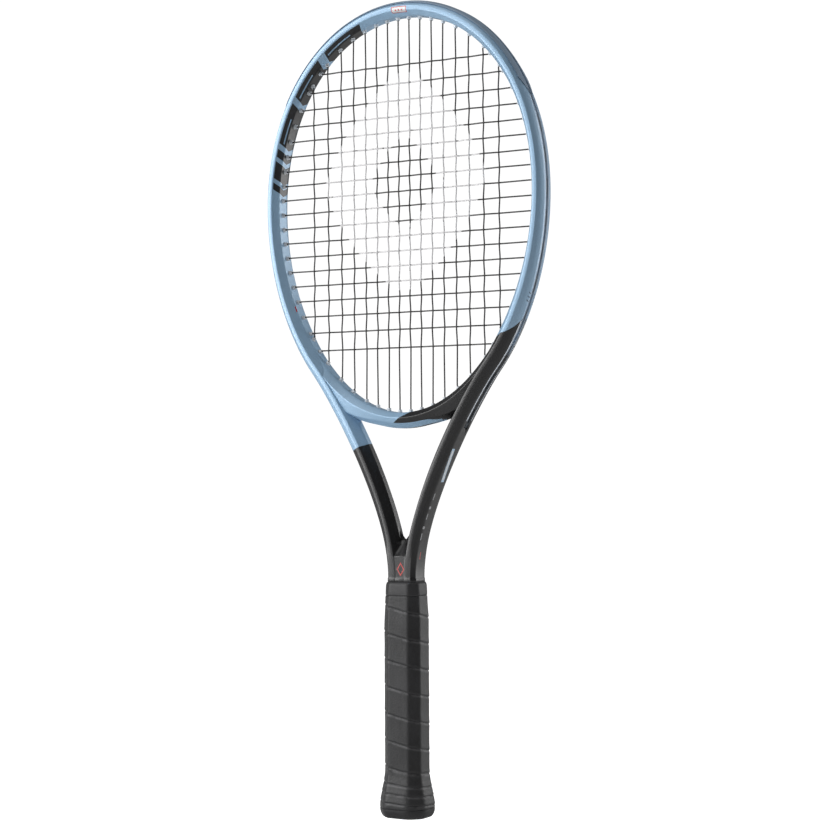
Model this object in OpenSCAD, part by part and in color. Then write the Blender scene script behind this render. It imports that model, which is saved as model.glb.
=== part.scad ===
// Tennis racket: hollow one-piece frame, woven string bed, wrapped eight-sided handle.
// Millimetres. Z runs from the butt to the tip, X across the strings, Y through the string bed.
// The origin is the middle of the butt's flat end.

/* [Hoop] */
// Length from the butt to the tip
racket_len = 685.8; // [680:0.1:690]
// Width inside the hoop
hoop_in_w = 244.6; // [240:0.1:248]
// Length inside the hoop, from the tip to the bridge
hoop_in_len = 335; // [330:1:338]
// How much fuller the tip half is than the throat half
hoop_egg = 0.08; // [0.06:0.01:0.1]

/* [Tube] */
// Width of the tube round the hoop
hoop_tube_w = 11.4; // [11:0.1:12]
// Width of the tube along the shafts
shaft_tube_w = 14.6; // [14:0.1:15]
// Depth of the tube at the tip
beam_tip = 22.6; // [22:0.1:24]
// Depth of the tube at the middle of the hoop
beam_mid = 25.4; // [24.5:0.1:26]
// Depth of the tube along the shafts
beam_shaft = 23; // [22:0.1:24]
// Wall of the hollow tube
tube_wall = 1.4; // [1.2:0.1:2]
// Width of the string groove round the outside
groove_w = 6.4; // [6.2:0.1:6.8]
// Depth of the string groove
groove_depth = 2.2; // [2:0.1:2.4]
// Thickness of the bridge between the shafts
bridge_t = 13.5; // [12:0.5:14.5]
// Depth of the bridge
bridge_beam = 22; // [20:0.5:23]

/* [Strings] */
// Thickness of a string
string_d = 1.28; // [1.1:0.01:1.3]
// Strings along the racket
main_count = 16; // [16]
// Strings across the racket
cross_count = 19; // [19]
// Spacing of the middle main strings
main_pitch = 10.5; // [10.2:0.1:10.7]
// Spacing of the middle cross strings
cross_pitch = 12.6; // [12.3:0.1:12.7]

/* [Grommets] */
// Outside of a grommet barrel
barrel_d = 3.9; // [3.6:0.1:4]
// Hole through a grommet barrel
barrel_bore = 1.8; // [1.7:0.1:1.9]
// How far a barrel stands out of the hoop's inner wall
barrel_stub = 2.4; // [1.5:0.1:3]
// Thickness of the bumper guard over the tip
guard_t = 1.5; // [1.2:0.1:1.6]

/* [Handle] */
// Width of the wrapped handle, across its narrow sides
handle_w = 34.8; // [34:0.1:36]
// Depth of the wrapped handle, across its wide faces
handle_d = 30.4; // [30:0.1:31.5]
// Height of the wrap's upper end
wrap_top = 184.4; // [180:0.1:186]
// Thickness of the wrap
wrap_t = 1.7; // [1.6:0.1:1.8]
// How far the butt end flares out
butt_flare = 4.55; // [4:0.05:5]
// Height of the rubber collar
collar_h = 11.4; // [10:0.1:12]

/* [Butt cap door] */
// Width of the door
door_w = 17; // [14:0.5:18]
// Length of the door, from hinge edge to free edge
door_len = 13; // [11:0.5:14]
// Thickness of the door
door_t = 2; // [1.6:0.1:2.2]

/* [Hidden] */

clear = 0.05;
$fn = 48;

// The hoop's inner wall is an egg-shaped oval. The angle along it is 0 at the tip
// and 180 at the bridge.
oval_a = hoop_in_w / 2;
oval_b = hoop_in_len / 2;
oval_z = racket_len - guard_t - hoop_tube_w - oval_b;

// Where the tube leaves the oval and becomes a shaft, and where the shaft becomes a leg
hoop_end = 138;
shaft_end = 178;
hoop_step = 6;
shaft_step = 4;
groove_end = 154;

// The two legs stand side by side from the handle up to the throat
leg_seam = 0.1;
leg_w = 13.3;
leg_x = (leg_seam + leg_w) / 2;
leg_top_z = 200.6;
leg_in_handle_w = 11.5;
leg_in_handle_d = 19.6;
leg_neck_z = 189;
leg_shoulder_z = 195;
leg_bottom_z = 14;
throat_z = 229;

strip_t = 0.9;
guard_end = 57.3;
strip_from = 58;
hole_clear = 0.15;
bridge_main_count = 4;

string_r = string_d / 2;
// Strings outside the tube lie in two lanes of the groove, so that mains clear crosses
lane_y = 1.45;
string_level = strip_t - groove_depth + 0.1 + string_r;

/* ---------- small tools ---------- */

function unit(v) = v / norm(v);
function mix(a, b, share) = a + (b - a) * share;
function ramp(x, from, to) =
    let (share = max(0, min(1, (x - from) / (to - from)))) share * share * (3 - 2 * share);
function cross2(a, b) = a[0] * b[1] - a[1] * b[0];
function mirror_x(p) = [for (i = [0 : len(p) - 1]) i == 0 ? -p[i] : p[i]];
function reverse(list) = [for (i = [len(list) - 1 : -1 : 0]) list[i]];
function flat(lists) = [for (list = lists) for (item = list) item];
function in_plane(p, y) = [p[0], y, p[1]];

// The place between low and high where f changes sign
function root(f, low, high, left = 26) =
    let (middle = (low + high) / 2)
    left == 0 ? middle
    : f(low) * f(middle) <= 0 ? root(f, low, middle, left - 1)
    : root(f, middle, high, left - 1);

// A closed solid through a row of rings, each a closed loop of as many points, in
// anticlockwise order for an eye at the last ring that looks back along the row
module loft(rings) {
    size = len(rings[0]);
    last = len(rings) - 1;
    sides = [for (k = [0 : last - 1]) for (j = [0 : size - 1])
        let (a = k * size + j, b = k * size + (j + 1) % size)
        each [[a, b + size, b], [a, a + size, b + size]]];
    near = [[for (j = [0 : size - 1]) j]];
    far = [[for (j = [size - 1 : -1 : 0]) last * size + j]];
    polyhedron(points = flat(rings), faces = concat(sides, near, far), convexity = 8);
}

module rounded_rect(w, d, r) {
    square([w, d - 2 * r], center = true);
    square([w - 2 * r, d], center = true);
    for (x = [-1, 1], y = [-1, 1])
        translate([x * (w / 2 - r), y * (d / 2 - r)]) circle(r);
}

// A round bar in the string plane, from one point towards another
module bar(from, to, d) {
    run = to - from;
    translate(in_plane(from, 0))
        rotate([0, atan2(run[0], run[1]), 0])
            cylinder(d = d, h = norm(run));
}

/* ---------- path of the tube, in the string plane (x, z) ---------- */

function oval(t) = [oval_a * sin(t) * (1 + hoop_egg * cos(t)), oval_z + oval_b * cos(t)];
function oval_normal(t) =
    unit([oval_b * sin(t), oval_a * (cos(t) + hoop_egg * cos(2 * t))]);

function tube_w(s) =
    s < hoop_end ? mix(hoop_tube_w, shaft_tube_w, ramp(abs(s), 85, hoop_end))
    : mix(shaft_tube_w, leg_w, ramp(s, 155, 172));
function tube_d(s) =
    s < hoop_end ? mix(beam_tip, beam_mid, ramp(abs(s), 10, 95))
    : mix(beam_mid, beam_shaft, ramp(s, hoop_end, 166));

// The shaft is a cubic curve from the hoop down to the upright leg
shaft_from = oval(hoop_end) + oval_normal(hoop_end) * tube_w(hoop_end) / 2;
shaft_out = oval_normal(hoop_end);
shaft_p1 = shaft_from + 37.4 * [shaft_out[1], -shaft_out[0]];
shaft_p2 = [leg_x, leg_top_z + 55.4];
shaft_p3 = [leg_x, leg_top_z];
function shaft_at(k) =
    pow(1 - k, 3) * shaft_from + 3 * pow(1 - k, 2) * k * shaft_p1
    + 3 * (1 - k) * k * k * shaft_p2 + pow(k, 3) * shaft_p3;
function shaft_run(k) =
    pow(1 - k, 2) * (shaft_p1 - shaft_from) + 2 * (1 - k) * k * (shaft_p2 - shaft_p1)
    + k * k * (shaft_p3 - shaft_p2);
function shaft_share(s) = (s - hoop_end) / (shaft_end - hoop_end);

function tube_normal(s) =
    s <= hoop_end ? oval_normal(s)
    : let (run = unit(shaft_run(shaft_share(s)))) [-run[1], run[0]];
function tube_centre(s) =
    s <= hoop_end ? oval(s) + oval_normal(s) * tube_w(s) / 2 : shaft_at(shaft_share(s));
// A point on or over the outside of the tube
function outside(s, rise) =
    s < 0 ? mirror_x(outside(-s, rise))
    : tube_centre(s) + tube_normal(s) * (tube_w(s) / 2 + rise);
// The same under the bridge
function under_bridge(s, rise) = oval(s) + oval_normal(s) * (bridge_t + rise);

/* ---------- cross-sections ---------- */

// A station is [centre, outward normal, inner reach, outer reach, half depth, squareness,
// groove depth]. Its ring is a squared ellipse with a groove in the outer side.
ring_steps = 20;
function bulge(share, squareness) = sign(share) * pow(abs(share), 2 / squareness);
function ring(st, floor_x) =
    let (
        centre = st[0], out = st[1], reach_in = st[2], reach_out = st[3],
        half_d = st[4], sq = st[5], groove = st[6],
        edge = asin(pow(groove_w / 2 / half_d, sq / 2)),
        lip_u = reach_out * bulge(cos(edge), sq),
        skin = [for (i = [0 : ring_steps])
            let (a = edge + (360 - 2 * edge) * i / ring_steps, c = bulge(cos(a), sq))
            [c > 0 ? c * reach_out : c * reach_in, half_d * bulge(sin(a), sq)]],
        floor_half = groove_w / 2 - 0.3,
        outline = concat(skin, [[lip_u - groove, -floor_half], [lip_u - groove, floor_half]])
    )
    [for (p = outline)
        let (q = centre + out * p[0])
        [max(floor_x, q[0]), p[1], q[1]]];

function hoop_station(s, grow) =
    [tube_centre(s), tube_normal(s), tube_w(s) / 2 + grow, tube_w(s) / 2 + grow,
     tube_d(s) / 2 + grow, 2.4, groove_depth];

// Below the throat the inner side of a shaft reaches past the middle, where it is cut flat
function shaft_station(s, grow) =
    let (
        centre = tube_centre(s),
        merged = centre[1] < throat_z,
        reach = merged ? 2.2 * (centre[0] - leg_seam / 2) : tube_w(s) / 2
    )
    [centre, tube_normal(s), reach + grow, tube_w(s) / 2 + grow, tube_d(s) / 2 + grow,
     2.4 + 0.6 * ramp(s, 158, 174), s <= groove_end ? groove_depth : 0.02];

function leg_station(z, grow) =
    let (
        share = ramp(z, leg_neck_z, leg_shoulder_z),
        w = mix(leg_in_handle_w, leg_w, share),
        d = mix(leg_in_handle_d, beam_shaft, share),
        x = (leg_seam + w) / 2
    )
    [[x, z], [1, 0], 2.2 * w / 2 + grow, w / 2 + grow, d / 2 + grow, 3, 0.02];

shaft_list = [for (s = [hoop_end + shaft_step : shaft_step : shaft_end]) s];
function half_stations(grow, bottom_z) =
    concat([for (s = [0 : hoop_step : hoop_end]) hoop_station(s, grow)],
           [for (s = shaft_list) shaft_station(s, grow)],
           [for (z = [leg_shoulder_z, leg_neck_z, bottom_z]) leg_station(z, grow)]);

// The cavity keeps clear of the groove
function hollowed(st) =
    [st[0], st[1], st[2], st[3] - (st[6] > 1 ? groove_depth : 0), st[4], st[5], 0.02];

module hairpin(stations, floor_x) {
    right = [for (st = stations) ring(st, floor_x)];
    left = [for (r = right) [for (p = r) mirror_x(p)]];
    loft(concat(reverse(right), [for (i = [1 : len(left) - 1]) left[i]]));
}

/* ---------- string layout ---------- */

// Mains are counted from the middle outwards, crosses from the tip down. The spacing
// opens towards the hoop: mains with the cube of their rank, crosses with its fifth power.
main_spread = 0.027;
cross_spread = 0.00011;
cross_middle_rise = 7.2;
function main_x(k) = let (u = k + 0.5) main_pitch * u + main_spread * pow(u, 3);
function cross_z(j) =
    let (v = (cross_count - 1) / 2 - j)
    oval_z + cross_middle_rise + cross_pitch * v + cross_spread * pow(v, 5);

tip_way = [0, 1];
butt_way = [0, -1];
side_way = [1, 0];

// Holes lean from square to the tube towards the string's own way.
// A string bends just before it enters its grommet.
hole_lean = 0.4;
bend_gap = barrel_stub + 0.5;
function hole_way(s, string_way) = unit(hole_lean * string_way + (1 - hole_lean) * tube_normal(s));
function bend_at(s, string_way) = oval(s) - bend_gap * hole_way(s, string_way);
function exit_at(s, string_way) =
    let (way = hole_way(s, string_way), from = oval(s))
    root(function (e) cross2(way, outside(e, string_level) - from), s - 15, s + 15);

// A hole is [angle on the oval, hole direction, angle where it leaves the tube]
function hoop_hole(s, string_way) = [s, hole_way(s, string_way), exit_at(s, string_way)];
function main_hole_top(k) =
    hoop_hole(root(function (s) bend_at(s, tip_way)[0] - main_x(k), 0, 90), tip_way);
function main_hole_low(k) =
    hoop_hole(root(function (s) bend_at(s, butt_way)[0] - main_x(k), 90, 170), butt_way);
function cross_hole(j) =
    hoop_hole(root(function (s) bend_at(s, side_way)[1] - cross_z(j), 5, 150), side_way);
function bridge_hole(k) =
    let (s = root(function (s) oval(s)[0] - main_x(k), 90, 180))
    [s, butt_way, root(function (e) under_bridge(e, string_level)[0] - main_x(k), 90, 180)];

last_main = main_count / 2 - 1;
top_holes = [for (k = [0 : last_main]) main_hole_top(k)];
low_holes = [for (k = [bridge_main_count : last_main]) main_hole_low(k)];
bridge_holes = [for (k = [0 : bridge_main_count - 1]) bridge_hole(k)];
cross_holes = [for (j = [0 : cross_count - 1]) cross_hole(j)];

module both_sides() {
    children();
    mirror([1, 0, 0]) children();
}

// Every hole as a bar on the hole's own axis: from inside the hoop, past its inner wall,
// to a level over the tube
module hole_bar(h, exit, d, inward, rise) {
    bar(oval(h[0]) - inward * h[1], exit + (rise - string_level) * h[1], d);
}

module hoop_bars(holes, d, inward, rise) {
    for (h = holes)
        hole_bar(h, outside(h[2], string_level), d, inward, rise);
}

module bridge_bars(d, inward, rise) {
    for (h = bridge_holes)
        hole_bar(h, under_bridge(h[2], string_level), d, inward, rise);
}

/* ---------- frame ---------- */

module frame_hairpin() {
    color("steelblue")
        difference() {
            hairpin(half_stations(0, leg_bottom_z), leg_seam / 2);
            hairpin([for (st = half_stations(-tube_wall, leg_bottom_z - 2)) hollowed(st)],
                    leg_seam / 2 + tube_wall);
            both_sides()
                hoop_bars(concat(top_holes, low_holes, cross_holes),
                          barrel_d + 2 * hole_clear, 6, 4);
        }
}

// The bridge closes the oval. Its ends run into the shafts and are cut to fit them.
bridge_half = 36;
function bridge_station(s, inset, d_less, groove) =
    let (
        sink = 3 * ramp(abs(s - 180), bridge_half - 8, bridge_half),
        out = oval_normal(s),
        half = (bridge_t - sink) / 2 - inset
    )
    [oval(s) + out * (sink + bridge_t) / 2, out, half, half, bridge_beam / 2 - d_less, 2.2, groove];

function bridge_groove(s) = abs(s - 180) < 21 ? groove_depth : 0.02;

module bridge_solid() {
    loft([for (s = [180 + bridge_half : -4 : 180 - bridge_half])
        ring(bridge_station(s, 0, 0, bridge_groove(s)), -200)]);
}

// Foam fills the middle of the bridge. The skin round it is thicker under the groove.
module bridge_core(gap) {
    loft([for (s = [200 : -4 : 160])
        let (st = bridge_station(s, tube_wall + groove_depth / 2 + gap, tube_wall + gap, 0.02))
        ring([st[0] - st[1] * groove_depth / 2, st[1], st[2], st[3], st[4], st[5], st[6]], -200)]);
}

module throat_bridge() {
    color("midnightblue")
        difference() {
            bridge_solid();
            bridge_core(0);
            both_sides() {
                loft([for (s = [162 : -shaft_step : hoop_end + 1]) ring(shaft_fill(s), -200),
                      for (s = [hoop_end : -hoop_step : 126]) ring(hoop_fill(s), -200)]);
                bridge_bars(barrel_d + 2 * hole_clear, 6, 4);
                hoop_bars(low_holes, barrel_d + 2 * hole_clear, 6, 4);
            }
        }
}

// The tube's outer form without its groove, a little oversize
function ungrooved(st) = [for (i = [0 : 6]) i == 6 ? 0.02 : st[i]];
function hoop_fill(s) = ungrooved(hoop_station(s, clear));
function shaft_fill(s) = ungrooved(shaft_station(s, clear));

module bridge_foam_core() {
    color("beige")
        difference() {
            bridge_core(clear);
            both_sides() bridge_bars(barrel_d + 2 * hole_clear, 6, 4);
        }
}

/* ---------- grommets and guard ---------- */

// A flat ribbon that lies in the bottom of the groove
strip_half = groove_w / 2 - 0.45;
function ribbon(at, at_top) =
    [in_plane(at, -strip_half), in_plane(at, strip_half),
     in_plane(at_top, strip_half), in_plane(at_top, -strip_half)];
function groove_lip(half_d, reach, sq) =
    reach * bulge(cos(asin(pow(groove_w / 2 / half_d, sq / 2))), sq) - reach;
function strip_ring(s) =
    let (drop = groove_lip(tube_d(s) / 2, tube_w(s) / 2, 2.4) - groove_depth + clear)
    ribbon(outside(s, drop), outside(s, drop + strip_t));
function bridge_strip_ring(s) =
    let (drop = groove_lip(bridge_beam / 2, bridge_t / 2, 2.2) - groove_depth + clear)
    ribbon(under_bridge(s, drop), under_bridge(s, drop + strip_t));

barrel_level = -groove_depth + 0.3;

module grommet_strip_right() {
    holes = [for (h = concat(cross_holes, low_holes)) if (h[0] > strip_from) h];
    color("whitesmoke")
        difference() {
            union() {
                loft([strip_ring(strip_from),
                      for (s = [60 : hoop_step : hoop_end]) strip_ring(s),
                      for (s = [hoop_end + shaft_step : shaft_step : groove_end - 2]) strip_ring(s)]);
                hoop_bars(holes, barrel_d, barrel_stub, barrel_level);
            }
            hoop_bars(holes, barrel_bore, barrel_stub + 1, 4);
        }
}

module grommet_strip_left() {
    mirror([1, 0, 0]) grommet_strip_right();
}

module throat_grommet_strip() {
    color("whitesmoke")
        difference() {
            union() {
                loft([for (s = [160 : 4 : 200]) bridge_strip_ring(s)]);
                both_sides() bridge_bars(barrel_d, barrel_stub, barrel_level);
            }
            both_sides() bridge_bars(barrel_bore, barrel_stub + 1, 4);
        }
}

// The guard's section: a tongue in the groove, wings over the tube, and a string channel
channel_half = 2.4;
function tube_drop(v, half_d, reach) = reach * (pow(1 - pow(v / half_d, 2.4), 1 / 2.4) - 1);
function guard_ring(s) =
    let (
        half_d = tube_d(s) / 2,
        reach = tube_w(s) / 2,
        thick = mix(guard_t, 0.8, ramp(abs(s), 30, guard_end)),
        tongue = groove_lip(half_d, reach, 2.4) - groove_depth + clear,
        wing = [for (v = [groove_w / 2 - 0.35, 6, 8.6]) [tube_drop(v, half_d, reach) + 0.12, v]],
        tip = wing[2],
        half = concat([[tongue, strip_half]], wing,
                      [[tip[0] + 0.6, tip[1] + 0.3], [thick - 0.45, 6.2], [thick, 4.6],
                       [thick, channel_half], [tongue + strip_t, channel_half]]),
        outline = concat(half, reverse([for (p = half) [p[0], -p[1]]]))
    )
    [for (p = outline) in_plane(outside(s, p[0]), p[1])];

module bumper_guard() {
    holes = concat(top_holes, [for (h = cross_holes) if (h[0] < guard_end) h]);
    color("lightslategray")
        difference() {
            union() {
                loft([guard_ring(-guard_end), for (s = [-54 : hoop_step : 54]) guard_ring(s),
                      guard_ring(guard_end)]);
                both_sides() hoop_bars(holes, barrel_d, barrel_stub, barrel_level);
            }
            both_sides() hoop_bars(holes, barrel_bore, barrel_stub + 1, 4);
        }
}

/* ---------- strings ---------- */

string_sides = 6;

// A bar through a list of points, mitred at each bend. girth scales the radius at each point.
function string_rings(path, girth) =
    let (last = len(path) - 1)
    [for (i = [0 : last])
        let (
            before = unit(path[max(i, 1)] - path[max(i, 1) - 1]),
            after = unit(path[min(i, last - 1) + 1] - path[min(i, last - 1)]),
            face = before + after,
            side = unit(cross(before, [0, 1, 0])),
            up = cross(side, before)
        )
        [for (j = [0 : string_sides - 1])
            let (
                a = -360 * (j + 0.5) / string_sides,
                arm = string_r * girth[i] * (cos(a) * side + sin(a) * up)
            )
            path[i] + arm - before * (arm * face) / (before * face)]];

function side_point(p, sign) = sign < 0 ? mirror_x(p) : p;
function bend_of(h) = oval(h[0]) - bend_gap * h[1];
function over_under(i, j) = (i + j) % 2 == 0 ? string_r : -string_r;

// Main number i runs from 0 on the left to the last on the right
function main_side(i) = i < main_count / 2 ? -1 : 1;
function main_rank(i) = i < main_count / 2 ? main_count / 2 - 1 - i : i - main_count / 2;
function main_at(i) = main_side(i) * main_x(main_rank(i));
function on_bridge(i) = main_rank(i) < bridge_main_count;
function low_hole_of(i) =
    on_bridge(i) ? bridge_holes[main_rank(i)] : low_holes[main_rank(i) - bridge_main_count];
function low_outside(i, s) =
    on_bridge(i) ? under_bridge(s, string_level) : outside(s, string_level);

top_bend_z = [for (k = [0 : last_main]) bend_of(top_holes[k])[1]];
low_bend_z = [for (i = [main_count / 2 : main_count - 1]) bend_of(low_hole_of(i))[1]];
cross_reach = [for (h = cross_holes) bend_of(h)[0]];
bend_room = 1.2;
function they_cross(i, j) =
    abs(main_at(i)) < cross_reach[j] - bend_room
    && cross_z(j) < top_bend_z[main_rank(i)] - bend_room
    && cross_z(j) > low_bend_z[main_rank(i)] + bend_room;

// One main from its exit at the tip to its exit at the throat
function main_pass(i) =
    let (
        rank = main_rank(i), sign = main_side(i), x = main_at(i),
        top = top_holes[rank], low = low_hole_of(i),
        top_exit = side_point(outside(top[2], string_level), sign),
        low_exit = side_point(low_outside(i, low[2]), sign)
    )
    concat([in_plane(top_exit, 0), [x, 0, top_bend_z[rank]]],
           [for (j = [0 : cross_count - 1]) if (they_cross(i, j))
               [x, over_under(i, j), cross_z(j)]],
           [[x, 0, low_bend_z[rank]], in_plane(low_exit, 0)]);

// Steps along the groove from one hole to the next, in the string's own lane
turn = 1;
function lane_steps(from, to) =
    let (way = to > from ? turn : -turn, span = abs(to - from) - 2 * turn, n = ceil(span / 7))
    [for (i = [0 : n]) from + way + way / turn * span * i / n];
function top_loop(i) =
    [for (s = lane_steps(main_side(i) * top_holes[main_rank(i)][2],
                         main_side(i + 1) * top_holes[main_rank(i + 1)][2]))
        in_plane(outside(s, string_level), lane_y)];
function low_loop(i) =
    [for (s = lane_steps(low_hole_of(i)[2], low_hole_of(i + 1)[2]))
        in_plane(side_point(low_outside(i, s), main_side(i)), lane_y)];

// A tie-off: the string's end swells into a knot beside its last hole
knot_girth = [0.9, 1.4, 1.4, 1];
knot_rise = 0.4;
function knot_path(s, way, lane, sign) =
    [for (step = [[1.9, knot_rise], [1.5, knot_rise], [1.0, knot_rise], [0.75, 0]])
        in_plane(side_point(outside(s + way * step[0], string_level + step[1]), sign), lane)];

main_path =
    let (knot_s = top_holes[last_main][2])
    concat(knot_path(knot_s, -1, lane_y, -1),
           flat([for (i = [0 : main_count - 1])
               concat(i % 2 == 0 ? main_pass(i) : reverse(main_pass(i)),
                      i == main_count - 1 ? [] : i % 2 == 0 ? low_loop(i) : top_loop(i))]),
           reverse(knot_path(knot_s, -1, lane_y, 1)));

// One cross from its exit on the left to its exit on the right
function cross_pass(j) =
    let (h = cross_holes[j], exit = outside(h[2], string_level), z = cross_z(j))
    concat([in_plane(mirror_x(exit), 0), [-cross_reach[j], 0, z]],
           [for (i = [0 : main_count - 1]) if (they_cross(i, j))
               [main_at(i), -over_under(i, j), z]],
           [[cross_reach[j], 0, z], in_plane(exit, 0)]);
function side_loop(j) =
    [for (s = lane_steps(cross_holes[j][2], cross_holes[j + 1][2]))
        in_plane(side_point(outside(s, string_level), j % 2 == 0 ? 1 : -1), -lane_y)];

cross_path =
    concat(knot_path(cross_holes[0][2], 1, -lane_y, -1),
           flat([for (j = [0 : cross_count - 1])
               concat(j % 2 == 0 ? cross_pass(j) : reverse(cross_pass(j)),
                      j == cross_count - 1 ? [] : side_loop(j))]),
           reverse(knot_path(cross_holes[cross_count - 1][2], 1, -lane_y, 1)));

module string_solid(path) {
    last = len(path) - 1;
    tail = len(knot_girth) - 1;
    girth = [for (i = [0 : last])
        i <= tail ? knot_girth[i] : i >= last - tail ? knot_girth[last - i] : 1];
    loft(string_rings(path, girth));
}

module main_string() {
    color("dimgray") string_solid(main_path);
}

module cross_string() {
    color("dimgray") string_solid(cross_path);
}

/* ---------- handle ---------- */

bevel = 7.5;

// The handle's octagon, grown or shrunk by an even step on every side
function octagon(grow) =
    let (x = handle_w / 2 + grow, y = handle_d / 2 + grow, b = bevel + 0.586 * grow)
    [[x - b, -y], [x, b - y], [x, y - b], [x - b, y],
     [b - x, y], [-x, y - b], [-x, b - y], [b - x, -y]];
function octagon_ring(step) = [for (p = octagon(step[1])) [p[0], p[1], step[0]]];

// A stack of octagons, from steps of [height, growth]
module octagon_stack(steps) {
    loft([for (step = steps) octagon_ring(step)]);
}

module octagon_bar(z0, z1, grow) {
    translate([0, 0, z0]) linear_extrude(z1 - z0) polygon(octagon(grow));
}

rim_h = 8;
flare_top = 40;
cap_h = 38;
cap_floor = 4;
cap_wall = 1.55;
pallet_top = 188.8;
neck_grow = -wrap_t - 0.9;
function flare(z) = butt_flare * (1 - ramp(z, rim_h, flare_top));

module pallet() {
    difference() {
        union() {
            octagon_bar(cap_h + clear, wrap_top, -wrap_t);
            octagon_bar(wrap_top, pallet_top, neck_grow);
            octagon_bar(cap_floor + clear, cap_h + clear, -wrap_t - cap_wall - clear);
        }
        translate([0, 0, -1]) linear_extrude(pallet_top + 2) rounded_rect(23.5, 19.9, 4);
        both_sides() staple_holes();
    }
}

module pallet_front() {
    color("dimgray")
        intersection() {
            pallet();
            translate([-30, -60 - clear / 2, -10]) cube([60, 60, 300]);
        }
}

module pallet_back() {
    color("dimgray")
        intersection() {
            pallet();
            translate([-30, clear / 2, -10]) cube([60, 60, 300]);
        }
}

foam_h = 60;
module handle_foam_right() {
    color("beige")
        translate([5.7, 0, leg_bottom_z]) linear_extrude(foam_h) rounded_rect(7.2, 13.6, 3);
}

module handle_foam_left() {
    mirror([1, 0, 0]) handle_foam_right();
}

/* ---------- butt cap, its door and the staples ---------- */

door_gap = 0.15;
door_low = 0.3;
hinge_y = door_len / 2 - 1.2;
hinge_z = 1.5;
hinge_r = 1.2;
pivot_r = 0.8;
pivot_len = 1.4;

module along_x(from, to, y, z, r) {
    translate([from, y, z]) rotate([0, 90, 0]) cylinder(r = r, h = to - from);
}

module butt_cap() {
    under_wrap = [for (z = [rim_h : 5 : cap_h]) [z + (z == rim_h ? 0.01 : 0), flare(z) - wrap_t]];
    color("black")
        difference() {
            union() {
                octagon_stack([[0, butt_flare - 2.6], [0.5, butt_flare - 1.5], [1.4, butt_flare - 0.7],
                               [2.8, butt_flare - 0.15], [4.5, butt_flare], [rim_h, butt_flare]]);
                octagon_stack(concat([[rim_h - 2, flare(rim_h) - wrap_t]], under_wrap));
            }
            octagon_bar(cap_floor, cap_h + 5, -wrap_t - cap_wall);
            door_opening();
            staple_holes();
            staple_slots();
            grip_staple_holes();
        }
}

module door_opening() {
    w = door_w + 2 * door_gap;
    free_y = -door_len / 2 - door_gap;
    translate([-w / 2, free_y, -1]) cube([w, hinge_y + hinge_r + 0.3 - free_y, cap_floor + 2]);
    along_x(-w / 2 - pivot_len, w / 2 + pivot_len, hinge_y, hinge_z, pivot_r + clear);
}

module butt_cap_door() {
    color("black")
        difference() {
            union() {
                translate([-door_w / 2, -door_len / 2, door_low])
                    cube([door_w, door_len / 2 + hinge_y, door_t]);
                along_x(-door_w / 2, door_w / 2, hinge_y, hinge_z, hinge_r);
                along_x(-door_w / 2 - pivot_len, door_w / 2 + pivot_len, hinge_y, hinge_z, pivot_r);
            }
            // Finger notch in the free edge
            translate([0, -door_len / 2 - 1, -1]) cylinder(r = 3, h = 5);
        }
}

staple_wire = 1;
staple_span = 8;
staple_z = 31;
staple_leg = 3.2;
staple_y = 13.4;

module wire(from, to, d) {
    run = to - from;
    translate(from) rotate([0, acos(run[2] / norm(run)), atan2(run[1], run[0])])
        cylinder(d = d, h = norm(run));
}

module front_and_back() {
    children();
    mirror([0, 1, 0]) children();
}

module staple_holes() {
    front_and_back()
        for (x = [-1, 1])
            wire([x * staple_span / 2, -staple_y, staple_z],
                 [x * staple_span / 2, -staple_y + staple_leg + 0.3, staple_z], staple_wire + 0.2);
}

module staple_slots() {
    room = staple_wire + 0.2;
    front_and_back()
        translate([-(staple_span + room) / 2, -staple_y - 4, staple_z - room / 2])
            cube([staple_span + room, 4 + room / 2, room]);
}

module butt_cap_staples() {
    color("silver")
        front_and_back() {
            wire([-staple_span / 2, -staple_y, staple_z], [staple_span / 2, -staple_y, staple_z],
                 staple_wire);
            for (x = [-1, 1]) {
                translate([x * staple_span / 2, -staple_y, staple_z]) sphere(d = staple_wire);
                wire([x * staple_span / 2, -staple_y, staple_z],
                     [x * staple_span / 2, -staple_y + staple_leg, staple_z], staple_wire);
            }
        }
}

// One staple pins the start of the wrap to the flare
grip_staple_z = 20;
grip_staple_x = handle_w / 2 + flare(grip_staple_z) - wrap_t + 0.68;
grip_staple_half = 4;

module grip_staple_legs(d, extra) {
    for (y = [-1, 1])
        wire([grip_staple_x, y * grip_staple_half, grip_staple_z],
             [grip_staple_x - 3.6 - extra, y * grip_staple_half, grip_staple_z], d);
}

module grip_staple_holes() {
    grip_staple_legs(staple_wire + 0.2, 0.3);
}

module grip_staple() {
    color("silver") {
        wire([grip_staple_x, -grip_staple_half, grip_staple_z],
             [grip_staple_x, grip_staple_half, grip_staple_z], staple_wire);
        for (y = [-1, 1])
            translate([grip_staple_x, y * grip_staple_half, grip_staple_z])
                sphere(d = staple_wire);
        grip_staple_legs(staple_wire, 0);
    }
}

/* ---------- grip ---------- */

taper_from = 160;
top_taper = 0.95;

module grip_wrap() {
    heights = [for (z = [rim_h : 5 : cap_h]) z];
    outer = concat([for (z = heights) [z + (z == rim_h ? 0.1 : 0), flare(z)]],
                   [[flare_top + 4, 0], [taper_from, 0], [wrap_top, -top_taper]]);
    inner = concat([for (z = heights) [z - (z == rim_h ? 1 : 0), flare(z) - wrap_t + clear]],
                   [[flare_top + 4, clear - wrap_t], [wrap_top + 1, clear - wrap_t]]);
    room = staple_wire + 0.3;
    color("darkslategray")
        difference() {
            octagon_stack(outer);
            octagon_stack(inner);
            translate([grip_staple_x - 2, -grip_staple_half - room / 2, grip_staple_z - room / 2])
                cube([2 + room / 2, 2 * grip_staple_half + room, room]);
        }
}

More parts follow.
